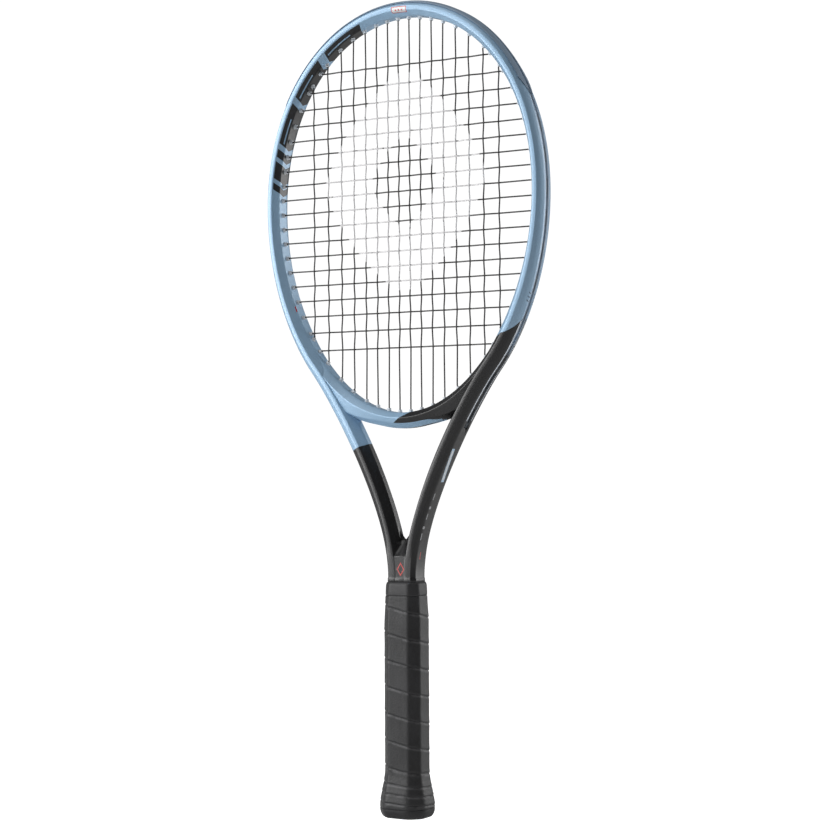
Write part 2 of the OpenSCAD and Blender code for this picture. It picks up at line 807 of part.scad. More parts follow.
module finishing_tape() {
    color("black")
        difference() {
            octagon_bar(wrap_top + 0.2, pallet_top + 1, neck_grow + 0.35);
            octagon_bar(wrap_top - 1, pallet_top + 2, neck_grow + clear);
        }
}

collar_low = wrap_top + 0.2;
collar_top = collar_low + collar_h;
collar_lip = 5;

module grip_collar() {
    color("black")
        difference() {
            octagon_stack([[collar_low, -top_taper - 0.1], [collar_top - 1.5, -top_taper - 0.1],
                           [collar_top, -top_taper - 0.9]]);
            octagon_bar(collar_low - 1, collar_top - collar_lip, neck_grow + 0.45);
            translate([0, 0, collar_low]) linear_extrude(collar_h + 1) rounded_rect(28, 24.2, 5);
        }
}

frame_hairpin();
throat_bridge();
bridge_foam_core();
bumper_guard();
grommet_strip_left();
grommet_strip_right();
throat_grommet_strip();
main_string();
cross_string();
pallet_front();
pallet_back();
handle_foam_left();
handle_foam_right();
butt_cap();
butt_cap_door();
butt_cap_staples();
grip_staple();
grip_wrap();
finishing_tape();
grip_collar();
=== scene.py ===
"""Looks of the tennis racket: painted frame, strings, grommets, bumper guard, wrapped grip and butt cap.

Lengths in this script are millimetres in the CAD frame; Shells.build() turns them into metres.
Angles along the hoop are degrees on its inner oval: 0 at the tip, 180 at the bridge, plus to the right.
"""
import math

import bmesh
import bpy
import numpy as np
from mathutils import Matrix, Vector


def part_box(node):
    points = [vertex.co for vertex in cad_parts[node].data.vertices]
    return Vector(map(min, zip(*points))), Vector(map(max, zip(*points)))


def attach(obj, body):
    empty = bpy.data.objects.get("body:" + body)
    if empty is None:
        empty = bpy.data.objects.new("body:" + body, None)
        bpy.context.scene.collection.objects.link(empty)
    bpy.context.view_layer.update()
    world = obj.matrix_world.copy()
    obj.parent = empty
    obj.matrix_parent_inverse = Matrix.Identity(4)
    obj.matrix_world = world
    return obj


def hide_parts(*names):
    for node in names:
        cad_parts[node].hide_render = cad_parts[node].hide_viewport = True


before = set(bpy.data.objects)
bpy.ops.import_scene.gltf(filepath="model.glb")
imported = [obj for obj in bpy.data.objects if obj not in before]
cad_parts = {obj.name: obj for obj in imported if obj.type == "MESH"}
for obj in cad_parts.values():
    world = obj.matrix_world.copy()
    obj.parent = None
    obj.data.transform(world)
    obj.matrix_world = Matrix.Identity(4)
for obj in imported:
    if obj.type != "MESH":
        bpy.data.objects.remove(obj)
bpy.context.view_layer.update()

MM = 0.001


def node_box(node):
    """Lowest and highest corner of a CAD node in millimetres."""
    low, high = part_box(node)
    return np.array(low) / MM, np.array(high) / MM


# ---------- driving dimensions ----------

guard_box = node_box("bumper_guard")
wrap_box = node_box("grip_wrap")
collar_box = node_box("grip_collar")
door_box = node_box("butt_cap_door")

GUARD_T = 1.5
HOOP_TUBE_W = 11.4
SHAFT_TUBE_W = 14.6
LEG_W = 13.3
HOOP_CREST = 1.9
SHAFT_CREST = 2.2
BEAM_TIP = 22.6
BEAM_MID = 25.4
BEAM_SHAFT = 23.0
GROOVE_HALF = 3.2
GROOVE_DEPTH = 2.2
OVAL_A = 122.3
OVAL_B = 167.5
OVAL_Z = guard_box[1][2] - GUARD_T - HOOP_TUBE_W - OVAL_B
HOOP_EGG = 0.08
HOOP_END = 138.0
SHAFT_END = 178.0
GROOVE_END = 152.5
LEG_X = 6.7
LEG_TOP_Z = 200.6
LEG_BOTTOM_Z = 14.0
SADDLE_Z = 229.0
SHIELD_Z = 216.5
BRIDGE_T = 13.5

STRING_R = 0.64
MAIN_COUNT = 16
CROSS_COUNT = 19
BRIDGE_MAINS = 4
MAIN_PITCH = 10.5
MAIN_SPREAD = 0.027
CROSS_PITCH = 12.6
CROSS_SPREAD = 0.00011
CROSS_MIDDLE_RISE = 7.2
HOLE_LEAN = 0.4
BARREL_R = 1.95
BARREL_BORE_R = 0.9
BARREL_STUB = 2.4
CHANNEL_HALF = 1.4
LANE_Y = 0.68

RIM_Z = 8.0
FLARE_TOP = 40.0
BUTT_FLARE = 4.55
WRAP_TOP = wrap_box[1][2]
WRAP_T = 1.7
HANDLE_HALF_X = 17.4
HANDLE_HALF_Y = 15.2
HANDLE_BEVEL = 7.5
BEVEL_GROWTH = 0.586


# ---------- small tools ----------

def ramp(x, low, high):
    """0 below low, 1 above high, smooth in between."""
    share = min(max((x - low) / (high - low), 0.0), 1.0)
    return share * share * (3 - 2 * share)


def mix(a, b, share):
    return a + (b - a) * share


def unit(v):
    v = np.asarray(v, float)
    return v / np.linalg.norm(v, axis=-1, keepdims=True)


HALVINGS = 30


def root(f, low, high):
    """The place between low and high where f changes sign."""
    f_low = f(low)
    for _ in range(HALVINGS):
        middle = (low + high) / 2
        f_middle = f(middle)
        if f_low * f_middle <= 0:
            high = middle
        else:
            low, f_low = middle, f_middle
    return (low + high) / 2


def in_plane(p, y):
    """A point of the string plane (x, z), at depth y."""
    return np.array([p[0], y, p[1]])


def mirrored(p, side):
    return p * [side, 1]


def directions(count):
    """Unit vectors at even steps round a circle."""
    angles = 2 * math.pi * np.arange(count) / count
    return np.column_stack([np.cos(angles), np.sin(angles)])


def ring_faces(rows, size):
    """Quads between rows of size points."""
    faces = []
    for k in range(rows - 1):
        for j in range(size):
            a, b = k * size + j, k * size + (j + 1) % size
            faces.append((a, b, b + size, a + size))
    return faces


def add_object(name, data):
    piece = bpy.data.objects.new(name, data)
    bpy.context.scene.collection.objects.link(piece)
    return piece


class Shells:
    """Collects closed shells, with one value a vertex for each attribute, and makes one object of them."""

    def __init__(self):
        self.points, self.faces, self.values, self.count = [], [], {}, 0

    def add(self, points, faces, **values):
        points = np.asarray(points, float).reshape(-1, 3)
        self.points.append(points)
        self.faces += [tuple(i + self.count for i in face) for face in faces]
        for name in sorted({*values, *self.values}):
            column = self.values.setdefault(name, np.zeros(self.count))
            new = np.broadcast_to(np.ravel(values.get(name, 0.0)), len(points))
            self.values[name] = np.concatenate([column, new])
        self.count += len(points)
        return self

    def loft(self, rings, **values):
        """A tube through rings of equally many points, closed at both ends."""
        rows, size = np.shape(rings)[:2]
        ends = [tuple(range(size))[::-1], tuple(range((rows - 1) * size, rows * size))]
        return self.add(rings, ring_faces(rows, size) + ends, **values)

    def closed_loft(self, rings, **values):
        """A tube through rings of which the last joins the first, so it has no ends."""
        rows, size = np.shape(rings)[:2]
        faces = [tuple(i % (rows * size) for i in face) for face in ring_faces(rows + 1, size)]
        return self.add(rings, faces, **values)

    def revolve(self, profile, base, axis, steps=20, **values):
        """A closed (radius, height) outline turned round an axis through base."""
        side = unit(np.cross(axis, [0.3, 1, 0.2]))
        up = np.cross(axis, side)
        arms = [c * side + s * up for c, s in directions(steps)]
        return self.closed_loft([[base + r * arm + h * axis for r, h in profile] for arm in arms], **values)

    def build(self, name, node, slot, sharp_deg, body="racket", weld=None):
        """The object, in place of a CAD node and riding its body."""
        mesh = bpy.data.meshes.new(name)
        mesh.from_pydata((np.concatenate(self.points) * MM).tolist(), [], self.faces)
        for key, column in self.values.items():
            mesh.attributes.new(key, "FLOAT", "POINT").data.foreach_set("value", column)
        work = bmesh.new()
        work.from_mesh(mesh)
        if weld:
            weld(work)
        bmesh.ops.recalc_face_normals(work, faces=work.faces)
        work.to_mesh(mesh)
        work.free()
        mesh.shade_smooth()
        mesh.set_sharp_from_angle(angle=math.radians(sharp_deg))
        piece = add_object(name, mesh)
        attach(piece, body)
        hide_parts(node)
        return piece


# ---------- path of the tube, in the string plane (x, z) ----------

def oval(t):
    r = math.radians(t)
    return np.array([OVAL_A * math.sin(r) * (1 + HOOP_EGG * math.cos(r)),
                     OVAL_Z + OVAL_B * math.cos(r)])


def oval_normal(t):
    r = math.radians(t)
    return unit([OVAL_B * math.sin(r), OVAL_A * (math.cos(r) + HOOP_EGG * math.cos(2 * r))])


def tube_w(s):
    hoop = mix(HOOP_TUBE_W, SHAFT_TUBE_W, ramp(abs(s), 85, HOOP_END))
    return hoop if s < HOOP_END else mix(SHAFT_TUBE_W, LEG_W, ramp(s, 155, 172))


def tube_d(s):
    hoop = mix(BEAM_TIP, BEAM_MID, ramp(abs(s), 10, 95))
    return hoop if s < HOOP_END else mix(BEAM_MID, BEAM_SHAFT, ramp(s, HOOP_END, 166))


SHAFT_OUT = oval_normal(HOOP_END)
SHAFT_FROM = oval(HOOP_END) + SHAFT_OUT * SHAFT_TUBE_W / 2
SHAFT_POINTS = [SHAFT_FROM,
                SHAFT_FROM + 37.4 * np.array([SHAFT_OUT[1], -SHAFT_OUT[0]]),
                np.array([LEG_X, LEG_TOP_Z + 55.4]),
                np.array([LEG_X, LEG_TOP_Z])]


def shaft_at(k):
    a, b, c, d = SHAFT_POINTS
    return (1 - k) ** 3 * a + 3 * (1 - k) ** 2 * k * b + 3 * (1 - k) * k * k * c + k ** 3 * d


def shaft_run(k):
    a, b, c, d = SHAFT_POINTS
    return (1 - k) ** 2 * (b - a) + 2 * (1 - k) * k * (c - b) + k * k * (d - c)


def tube_frame(s):
    """Centre and outward normal of the tube on the right side."""
    if s <= HOOP_END:
        return oval(s) + oval_normal(s) * tube_w(s) / 2, oval_normal(s)
    k = (s - HOOP_END) / (SHAFT_END - HOOP_END)
    run = unit(shaft_run(k))
    return shaft_at(k), np.array([-run[1], run[0]])


def outside(s, rise):
    """A point over the outside of the tube, on either side."""
    centre, normal = tube_frame(abs(s))
    p = centre + normal * (tube_w(abs(s)) / 2 + rise)
    return p if s >= 0 else p * [-1, 1]


def under_bridge(s, rise):
    return oval(s) + oval_normal(s) * (BRIDGE_T + rise)


# ---------- sections ----------

def rounded(corners, steps=4):
    """A line through (u, v, cut) corners, each corner replaced by a short curve cut deep."""
    points = []
    last = len(corners) - 1
    for k, (u, v, cut) in enumerate(corners):
        here = np.array([u, v])
        if k in (0, last):
            points.append(here)
            continue
        before = np.array(corners[k - 1][:2]) - here
        after = np.array(corners[k + 1][:2]) - here
        long_before, long_after = np.linalg.norm(before), np.linalg.norm(after)
        a = here + before * min(0.45, cut / max(long_before, 1e-6))
        b = here + after * min(0.45, cut / max(long_after, 1e-6))
        for t in np.linspace(0, 1, steps):
            points.append((1 - t) ** 2 * a + 2 * t * (1 - t) * here + t * t * b)
    return points


def blended(hoop, shaft, share):
    """Corners part way between two corner lists of the same length."""
    return [tuple(mix(np.array(a), np.array(b), share)) for a, b in zip(hoop, shaft)]


WEB_STEPS = 6
SADDLE_RISE = 9.0
CREST_RISE = 0.06


def inner_side(w, d, flat, crest, rounding, centre_x, web_depth):
    """From the inner middle to the crest's inner edge. Below the saddle the flat inner part is a web
    that reaches the racket's middle at web_depth. Just above it the two walls close up in a V."""
    shares = np.arange(WEB_STEPS) / WEB_STEPS
    if web_depth <= 0:
        gap = max(0.0, centre_x - w)
        close = gap * max(0.0, 1 + web_depth / SADDLE_RISE) ** 2
        wall = [np.array([-w - close * (1 - k) ** 1.5, flat * 0.82 * k]) for k in shares]
        start, corner = (-w, flat * 0.82, 0), (-w, flat, rounding)
    else:
        depth = min(web_depth, d - 0.02)
        share = max(0.0, (depth - flat) / (d - flat))
        edge = -mix(w, crest, share) - 0.02
        cup = min(1.6, 0.5 * (centre_x - w), 0.4 * (d - depth))
        depth = depth + cup
        wall = [np.array([mix(-centre_x, edge, k), depth - cup * (1 - k ** 2)]) for k in shares]
        middle = mix(np.array([edge, depth]), np.array([-crest, d]), 0.5)
        corner = (-w, flat, rounding) if depth < flat * 0.8 else (middle[0], middle[1], 0.1)
        start = (edge, depth, 0)
    return wall + rounded([start, corner, (-crest, d, 0.35), (0.0, d + CREST_RISE, 0)])[:-1]


def tube_section(w, d, to_shaft, to_leg, groove, centre_x=0.0, web_depth=0.0):
    """Front half of a section, from its inner side to its outer side, as (u outward, v forward)."""
    flat = mix(0.465 * d, 2.8, to_shaft)
    crest = mix(HOOP_CREST, SHAFT_CREST, to_shaft)
    inner = inner_side(w, d, flat, crest, mix(2.4, 1.2, to_shaft), centre_x, web_depth)
    hoop = [(HOOP_CREST, d, 0.5), (mix(HOOP_CREST, w, 0.62), 0.73 * d, 3.0), (w, 0.36 * d, 1.8)]
    shaft = [(1.4, d, 0.5), (4.6, d - 1.1, 1.4), (w, 7.2, 2.2)]
    leg = [(2.2, d, 0.1), (4.0, d, 0.5), (w, 7.6, 0.7)]
    corners = blended(blended(hoop, shaft, to_shaft), leg, to_leg)
    outer = rounded([(0.0, d + CREST_RISE, 0)] + corners + [(w, GROOVE_HALF, 0)], 6)
    steps = [(GROOVE_HALF - 0.12, 0.12), (GROOVE_HALF - 0.2, 0.5), (GROOVE_HALF - 0.25, 1),
             (GROOVE_HALF / 2, 1), (0, 1)]
    channel = [np.array([w - share * GROOVE_DEPTH * groove, v]) for v, share in steps]
    return np.array(inner + outer + channel)


CREST_MIDDLE = WEB_STEPS + 1 + 2 * 4
LIP = CREST_MIDDLE + 1 + 3 * 6


def station_rows():
    """Stations of the right half, from the tip to the leg's end, as [centre, normal, section, run]."""
    rows = []
    angles = np.concatenate([np.arange(0, HOOP_END, 1.5), np.arange(HOOP_END, 171, 0.5),
                             np.arange(171, 175, 0.08), np.arange(175, SHAFT_END, 0.5)])
    for s in angles:
        centre, normal = tube_frame(s)
        to_leg = ramp(-centre[1], -240, -212) if s > HOOP_END else 0.0
        groove = 1 - ramp(s, GROOVE_END - 1.2, GROOVE_END + 0.4)
        web_depth = (SADDLE_Z - centre[1]) * (BEAM_SHAFT / 2) / (SADDLE_Z - SHIELD_Z)
        to_middle = centre[0] / max(normal[0], 1e-9)
        section = tube_section(tube_w(s) / 2, tube_d(s) / 2, ramp(s, 122, 150), to_leg, groove,
                               to_middle, web_depth)
        rows.append([centre, normal, section])
    upright = np.array([1.0, 0.0])
    ledge = [(200.4, 0), (199.3, 0), (198.7, 0.45), (196.2, 0.45), (195.6, 0)]
    neck = [(195.0, 0), (189.0, 1), (100.0, 1), (LEG_BOTTOM_Z, 1)]
    for z, rise in ledge:
        rows.append([np.array([LEG_X, z]), upright,
                     tube_section(6.65 + rise, BEAM_SHAFT / 2 + rise, 1, 1, 0, LEG_X, 20)])
    for z, share in neck:
        w, d = mix(6.65, 5.75, share), mix(BEAM_SHAFT / 2, 9.8, share)
        rows.append([np.array([w + 0.05, z]), upright, tube_section(w, d, 1, 1, 0, w + 0.05, 20)])
    run, last = 0.0, rows[0][0]
    for row in rows:
        run += np.linalg.norm(row[0] - last)
        last = row[0]
        row.append(run)
    return rows


def frame_shell():
    """The hairpin tube with each point's run along it, girth round it and distance from the groove's lip."""
    right, runs, girths, rims = [], [], [], []
    for centre, normal, section, run in station_rows():
        length = np.concatenate([[0], np.cumsum(np.linalg.norm(np.diff(section, axis=0), axis=1))])
        girth = length - length[CREST_MIDDLE]
        loop = np.concatenate([section, section[-2::-1] * [1, -1]])
        in_xz = centre + normal * loop[:, :1]
        right.append(np.stack([np.maximum(in_xz[:, 0], 0), -loop[:, 1], in_xz[:, 1]], -1))
        girths.append(np.concatenate([girth, girth[-2::-1]]))
        rim = length[LIP] - length
        rims.append(np.concatenate([rim, rim[-2::-1]]))
        runs.append(np.full(len(loop), run))

    def both_halves(values, mirror):
        return np.concatenate([values[::-1], np.array(values[1:]) * mirror])

    shells = Shells().loft(both_halves(right, [-1, 1, 1]), run=both_halves(runs, -1),
                           girth=both_halves(girths, 1), rim=both_halves(rims, 1))
    return shells.build("frame_shell", "frame_hairpin", "frame_paint", 50, weld=weld_halves)


def weld_halves(work):
    """Removes the walls inside the joined legs and joins the two halves along the middle."""
    inside = [f for f in work.faces if all(abs(v.co.x) < 1e-7 for v in f.verts)
              and f.calc_center_median().z < SADDLE_Z * MM]
    bmesh.ops.delete(work, geom=inside, context="FACES_ONLY")
    bmesh.ops.remove_doubles(work, verts=work.verts, dist=1e-6)


# ---------- bridge ----------

def bridge_section(s):
    """Front half of the bridge's section as (u outward, v forward). Its ends lie inside the tube."""
    off = abs(s - 180)
    full = ramp(off, 8, 26)
    thick = BRIDGE_T + 4.2 * full - 9 * ramp(off, 28, 38)
    depth = mix(11.0, 11.9, ramp(off, 6, 30)) - 2.5 * ramp(off, 36, 46)
    crest = mix(4.9, 5.6, full)
    groove = GROOVE_DEPTH * (1 - ramp(off, 20.4, 21.2))
    low_edge = mix(thick - 4.3, thick - 2.4, full)
    low_depth = mix(8.6, 9.6, full)
    lip_u = thick - 0.15
    corners = [(0, 0, 0), (0, 5.2, 1.6), (crest - 0.45, depth, 0.3), (crest + 0.45, depth, 0.5),
               (low_edge, low_depth, 0.9), (lip_u - 0.35, GROOVE_HALF + 0.9, 0.6), (lip_u, GROOVE_HALF, 0)]
    channel = [(lip_u + 0.1 - groove * 0.5, GROOVE_HALF - 0.15), (lip_u + 0.12 - groove, GROOVE_HALF - 0.22),
               (lip_u + 0.14 - groove, 1.5), (lip_u + 0.15 - groove, 0)]
    return np.array(rounded(corners, 5) + [np.array(p) for p in channel])


UNDER_FROM = 1 + 3 * 5 + 2.0


def bridge_shell():
    """The bridge's tube with each point's place on its section, counted from the underside's edge."""
    rings, sides = [], []
    for s in np.arange(180 - 44, 180 + 44.1, 1.0):
        section = bridge_section(s)
        loop = np.concatenate([section, section[-2:0:-1] * [1, -1]])
        in_xz = oval(s) + oval_normal(s) * loop[:, :1]
        rings.append(np.stack([in_xz[:, 0], -loop[:, 1], in_xz[:, 1]], -1))
        under = np.arange(len(section)) - UNDER_FROM
        sides.append(np.concatenate([under, under[-2:0:-1]]))
    shells = Shells().loft(rings, under=np.array(sides))
    return shells.build("bridge_shell", "throat_bridge", "frame_paint", 30)


# ---------- string layout ----------

def main_x(rank):
    u = rank + 0.5
    return MAIN_PITCH * u + MAIN_SPREAD * u ** 3


def cross_z(j):
    v = (CROSS_COUNT - 1) / 2 - j
    return OVAL_Z + CROSS_MIDDLE_RISE + CROSS_PITCH * v + CROSS_SPREAD * v ** 5


BEND_GAP = BARREL_STUB + 0.5
STRING_LEVEL = -GROOVE_DEPTH + 0.5 + 0.1 + STRING_R
TIP_WAY, BUTT_WAY, SIDE_WAY = np.array([0, 1.0]), np.array([0, -1.0]), np.array([1.0, 0])


def hole_way(way, s):
    """A hole's direction: the tube's normal, leaned towards the string's way."""
    return unit(mix(tube_frame(s)[1], way, HOLE_LEAN))


class Hole:
    """A string hole: its angle on the oval, its direction, and where it leaves the tube."""

    def __init__(self, s, way, bridge=False):
        self.s = s
        self.cover = under_bridge if bridge else outside
        self.way = BUTT_WAY if bridge else hole_way(way, s)
        start = oval(s)

        def miss(e):
            gap = self.cover(e, STRING_LEVEL) - start
            return self.way[0] * gap[1] - self.way[1] * gap[0]

        self.exit = root(miss, max(s - 15, 90 if bridge else 0.001), min(s + 15, 180))
        self.bend = start - BEND_GAP * self.way

    def mouth(self, side):
        """Where the string comes out into the groove."""
        return in_plane(mirrored(self.cover(self.exit, STRING_LEVEL), side), 0)


def hole_for(way, low, high, axis, target):
    """The hole between the angles low and high whose bend has the coordinate target on axis."""
    def miss(s):
        return (oval(s) - BEND_GAP * hole_way(way, s))[axis] - target

    return Hole(root(miss, low, high), way)


HALF_MAINS = MAIN_COUNT // 2
TOP_HOLES = [hole_for(TIP_WAY, 0, 90, 0, main_x(k)) for k in range(HALF_MAINS)]
LOW_HOLES = [Hole(root(lambda s: oval(s)[0] - main_x(k), 90, 180), BUTT_WAY, bridge=True)
             for k in range(BRIDGE_MAINS)]
LOW_HOLES += [hole_for(BUTT_WAY, 90, 170, 0, main_x(k)) for k in range(BRIDGE_MAINS, HALF_MAINS)]
CROSS_HOLES = [hole_for(SIDE_WAY, 5, 150, 1, cross_z(j)) for j in range(CROSS_COUNT)]


def rank_of(i):
    """A main string's place counted from the middle outwards."""
    return HALF_MAINS - 1 - i if i < HALF_MAINS else i - HALF_MAINS


def side_of(i):
    return -1 if i < HALF_MAINS else 1


def main_at(i):
    return side_of(i) * main_x(rank_of(i))


def over_under(i, j):
    return STRING_R if (i + j) % 2 == 0 else -STRING_R


BEND_ROOM = 1.2
WEAVE_STEPS = 7
WAVE_SHARE = 0.75


def they_cross(i, j):
    rank = rank_of(i)
    return (abs(main_at(i)) < CROSS_HOLES[j].bend[0] - BEND_ROOM
            and cross_z(j) < TOP_HOLES[rank].bend[1] - BEND_ROOM
            and cross_z(j) > LOW_HOLES[rank].bend[1] + BEND_ROOM)


def woven(start, knots, end):
    """Points along a taut string that passes over and under at the knots (place, depth)."""
    stops = [(start, 0.0)] + knots + [(end, 0.0)]
    out = []
    for (a, ya), (b, yb) in zip(stops, stops[1:]):
        for k in range(WEAVE_STEPS):
            share = k / WEAVE_STEPS
            ease = (1 - math.cos(math.pi * share)) / 2
            out.append((mix(a, b, share), mix(ya, yb, mix(share, ease, WAVE_SHARE))))
    out.append((end, 0.0))
    return out


def main_pass(i):
    """One main string, from its hole at the tip to its hole at the butt end."""
    side, x = side_of(i), main_at(i)
    top, low = TOP_HOLES[rank_of(i)], LOW_HOLES[rank_of(i)]
    knots = [(cross_z(j), over_under(i, j)) for j in range(CROSS_COUNT) if they_cross(i, j)]
    middle = [np.array([x, y, z]) for z, y in woven(top.bend[1], knots, low.bend[1])]
    return [top.mouth(side), *middle, low.mouth(side)]


def cross_pass(j):
    """One cross string, from left to right."""
    hole, z = CROSS_HOLES[j], cross_z(j)
    reach = hole.bend[0]
    knots = [(main_at(i), -over_under(i, j)) for i in range(MAIN_COUNT) if they_cross(i, j)]
    middle = [np.array([x, y, z]) for x, y in woven(-reach, knots, reach)]
    return [hole.mouth(-1), *middle, hole.mouth(1)]


def lane(a, b, cover, side, y):
    """Along the groove from angle a to angle b, in a lane at depth y."""
    way = 1 if b > a else -1
    count = max(3, int(abs(b - a) / 1.5))
    return [in_plane(mirrored(cover(s, STRING_LEVEL), side), y)
            for s in np.linspace(a + way * 0.7, b - way * 0.7, count)]


def main_path():
    """All the mains as one string that goes down, along the groove, up, and so on, from left to right."""
    path = []
    for i in range(MAIN_COUNT):
        downward = i % 2 == 0
        path += main_pass(i)[::1 if downward else -1]
        if i == MAIN_COUNT - 1:
            break
        here, after = rank_of(i), rank_of(i + 1)
        if downward:
            low = LOW_HOLES[here]
            path += lane(low.exit, LOW_HOLES[after].exit, low.cover, side_of(i), LANE_Y)
        else:
            path += lane(side_of(i) * TOP_HOLES[here].exit, side_of(i + 1) * TOP_HOLES[after].exit,
                         outside, 1, LANE_Y)
    return path


def cross_path():
    """All the crosses as one string that goes from side to side, from the tip to the throat."""
    path = []
    for j in range(CROSS_COUNT):
        side = 1 if j % 2 == 0 else -1
        path += cross_pass(j)[::side]
        if j < CROSS_COUNT - 1:
            path += lane(CROSS_HOLES[j].exit, CROSS_HOLES[j + 1].exit, outside, side, -LANE_Y)
    return path


BEND_ROUNDS = 2
LEAST_STEP = 0.35
STRING_SIDES = 10


def rounded_path(path):
    """Cuts corners until bends look like a bent string."""
    p = np.array(path)
    for _ in range(BEND_ROUNDS):
        step = np.linalg.norm(np.diff(p, axis=0), axis=1)[:, None]
        cut = np.minimum(0.25, 1.0 / np.maximum(step, 1e-6))
        a = p[:-1] + (p[1:] - p[:-1]) * cut
        b = p[1:] - (p[1:] - p[:-1]) * cut
        inner = np.stack([a, b], 1).reshape(-1, 3)
        p = np.concatenate([p[:1], inner, p[-1:]])
    keep = [0]
    for k in range(1, len(p)):
        if np.linalg.norm(p[k] - p[keep[-1]]) > LEAST_STEP:
            keep.append(k)
    return p[keep]


def string_rings(path):
    """Rings round the string, and each point's length along it."""
    p = rounded_path(path)
    run = unit(np.gradient(p, axis=0))
    side = unit(np.cross(run, [0, 1.0, 0]))
    up = np.cross(side, run)
    angles = 2 * math.pi * (np.arange(STRING_SIDES) + 0.5) / STRING_SIDES
    ring = np.cos(angles)[:, None] * side[:, None] + np.sin(angles)[:, None] * up[:, None]
    length = np.concatenate([[0], np.cumsum(np.linalg.norm(np.diff(p, axis=0), axis=1))])
    return p[:, None] + STRING_R * ring, np.repeat(length, STRING_SIDES)


def string_piece(name, path, node):
    rings, length = string_rings(path)
    return Shells().loft(rings, length=length).build(name, node, "string", 60)


# ---------- grommets and guard ----------

def barrel(shells, hole, side):
    """A grommet barrel with a rounded lip and a bore, from inside the hoop to the channel's floor."""
    start = oval(hole.s) - BARREL_STUB * hole.way
    stop = hole.cover(hole.exit, -GROOVE_DEPTH + 0.45)
    length = np.linalg.norm(stop - start)
    r, bore = BARREL_R, BARREL_BORE_R
    profile = [(bore, 0.35), (bore + 0.15, 0.08), (bore + 0.4, 0), (r - 0.55, 0.02), (r - 0.3, 0.15),
               (r - 0.22, 0.45), (r - 0.12, BARREL_STUB - 0.4), (r + 0.25, BARREL_STUB - 0.15),
               (r + 0.3, BARREL_STUB + 0.3), (r, BARREL_STUB + 0.6), (r, length), (bore, length)]
    axis = in_plane(mirrored(hole.way, side), 0)
    shells.revolve(profile, in_plane(mirrored(start, side), 0), axis, barrel=1.0)


def channel_rings(angles, place, lip_drop, end_round, round_low=True):
    """A grommet strip in its groove: two rails, flush with the tube, beside the string channel."""
    rings = []
    low, high = angles[0], angles[-1]
    for s in angles:
        to_end = min(s - low, high - s) if round_low else high - s
        share = math.sqrt(1 - (1 - min(1, to_end / end_round)) ** 2)
        half = (GROOVE_HALF - 0.18) * max(share, 0.05)
        inner = min(CHANNEL_HALF, half * 0.45) if to_end < end_round * 0.8 else CHANNEL_HALF
        drop = lip_drop(s)
        top = drop + 0.05
        bottom = drop - GROOVE_DEPTH + 0.06
        floor = top - 0.1 if to_end < end_round * 0.45 else drop - GROOVE_DEPTH + 0.5
        half_ring = [(bottom, half), (top - 0.3, half), (top, half - 0.25),
                     (top + 0.05, (half + inner) / 2), (top, inner + 0.15), (top - 0.2, inner),
                     (floor + 0.1, inner - 0.05), (floor, inner - 0.2)]
        outline = half_ring + [(u, -v) for u, v in half_ring[::-1]]
        rings.append([in_plane(place(s, u), v) for u, v in outline])
    return rings


ROUNDNESS = 1.9


def groove_lip(s):
    """How far the groove's lip lies under the tube's widest line."""
    w, d = tube_w(s) / 2, tube_d(s) / 2
    to_shaft = ramp(s, 125, 155)
    crest, p = mix(HOOP_CREST, SHAFT_CREST, to_shaft), mix(ROUNDNESS, 2.1, to_shaft)
    return (w - crest) * ((1 - (GROOVE_HALF / d) ** p) ** (1 / p) - 1)


STRIP_FROM = 58.0
STRIP_TO = GROOVE_END - 0.4
STRIP_TAIL = 2.6


def side_strip(name, side, node):
    angles = np.concatenate([np.arange(STRIP_FROM, STRIP_TO - 3, 1.5),
                             np.linspace(STRIP_TO - STRIP_TAIL, STRIP_TO, 12)])
    rings = channel_rings(angles, lambda s, u: mirrored(outside(s, u), side), groove_lip, 2.2, False)
    shells = Shells().loft(rings)
    for hole in CROSS_HOLES + LOW_HOLES[BRIDGE_MAINS:]:
        if hole.s > STRIP_FROM:
            barrel(shells, hole, side)
    return shells.build(name, node, "grommet_plastic", 35)


def throat_strip():
    angles = np.arange(180 - 20, 180 + 20.1, 1.0)
    shells = Shells().loft(channel_rings(angles, under_bridge, lambda s: -0.15, 1.6))
    for hole in LOW_HOLES[:BRIDGE_MAINS]:
        for side in (-1, 1):
            barrel(shells, hole, side)
    return shells.build("throat_strip", "throat_grommet_strip", "grommet_plastic", 35)


GUARD_END_MIDDLE = 59.0
GUARD_END_WING = 54.0
WING_V = 8.6


def tube_drop(s, v):
    """How far the tube's outer surface lies under its widest line, at depth v."""
    w, d = tube_w(s) / 2, tube_d(s) / 2
    return (w - HOOP_CREST) * ((1 - min(1, v / d) ** ROUNDNESS) ** (1 / ROUNDNESS) - 1)


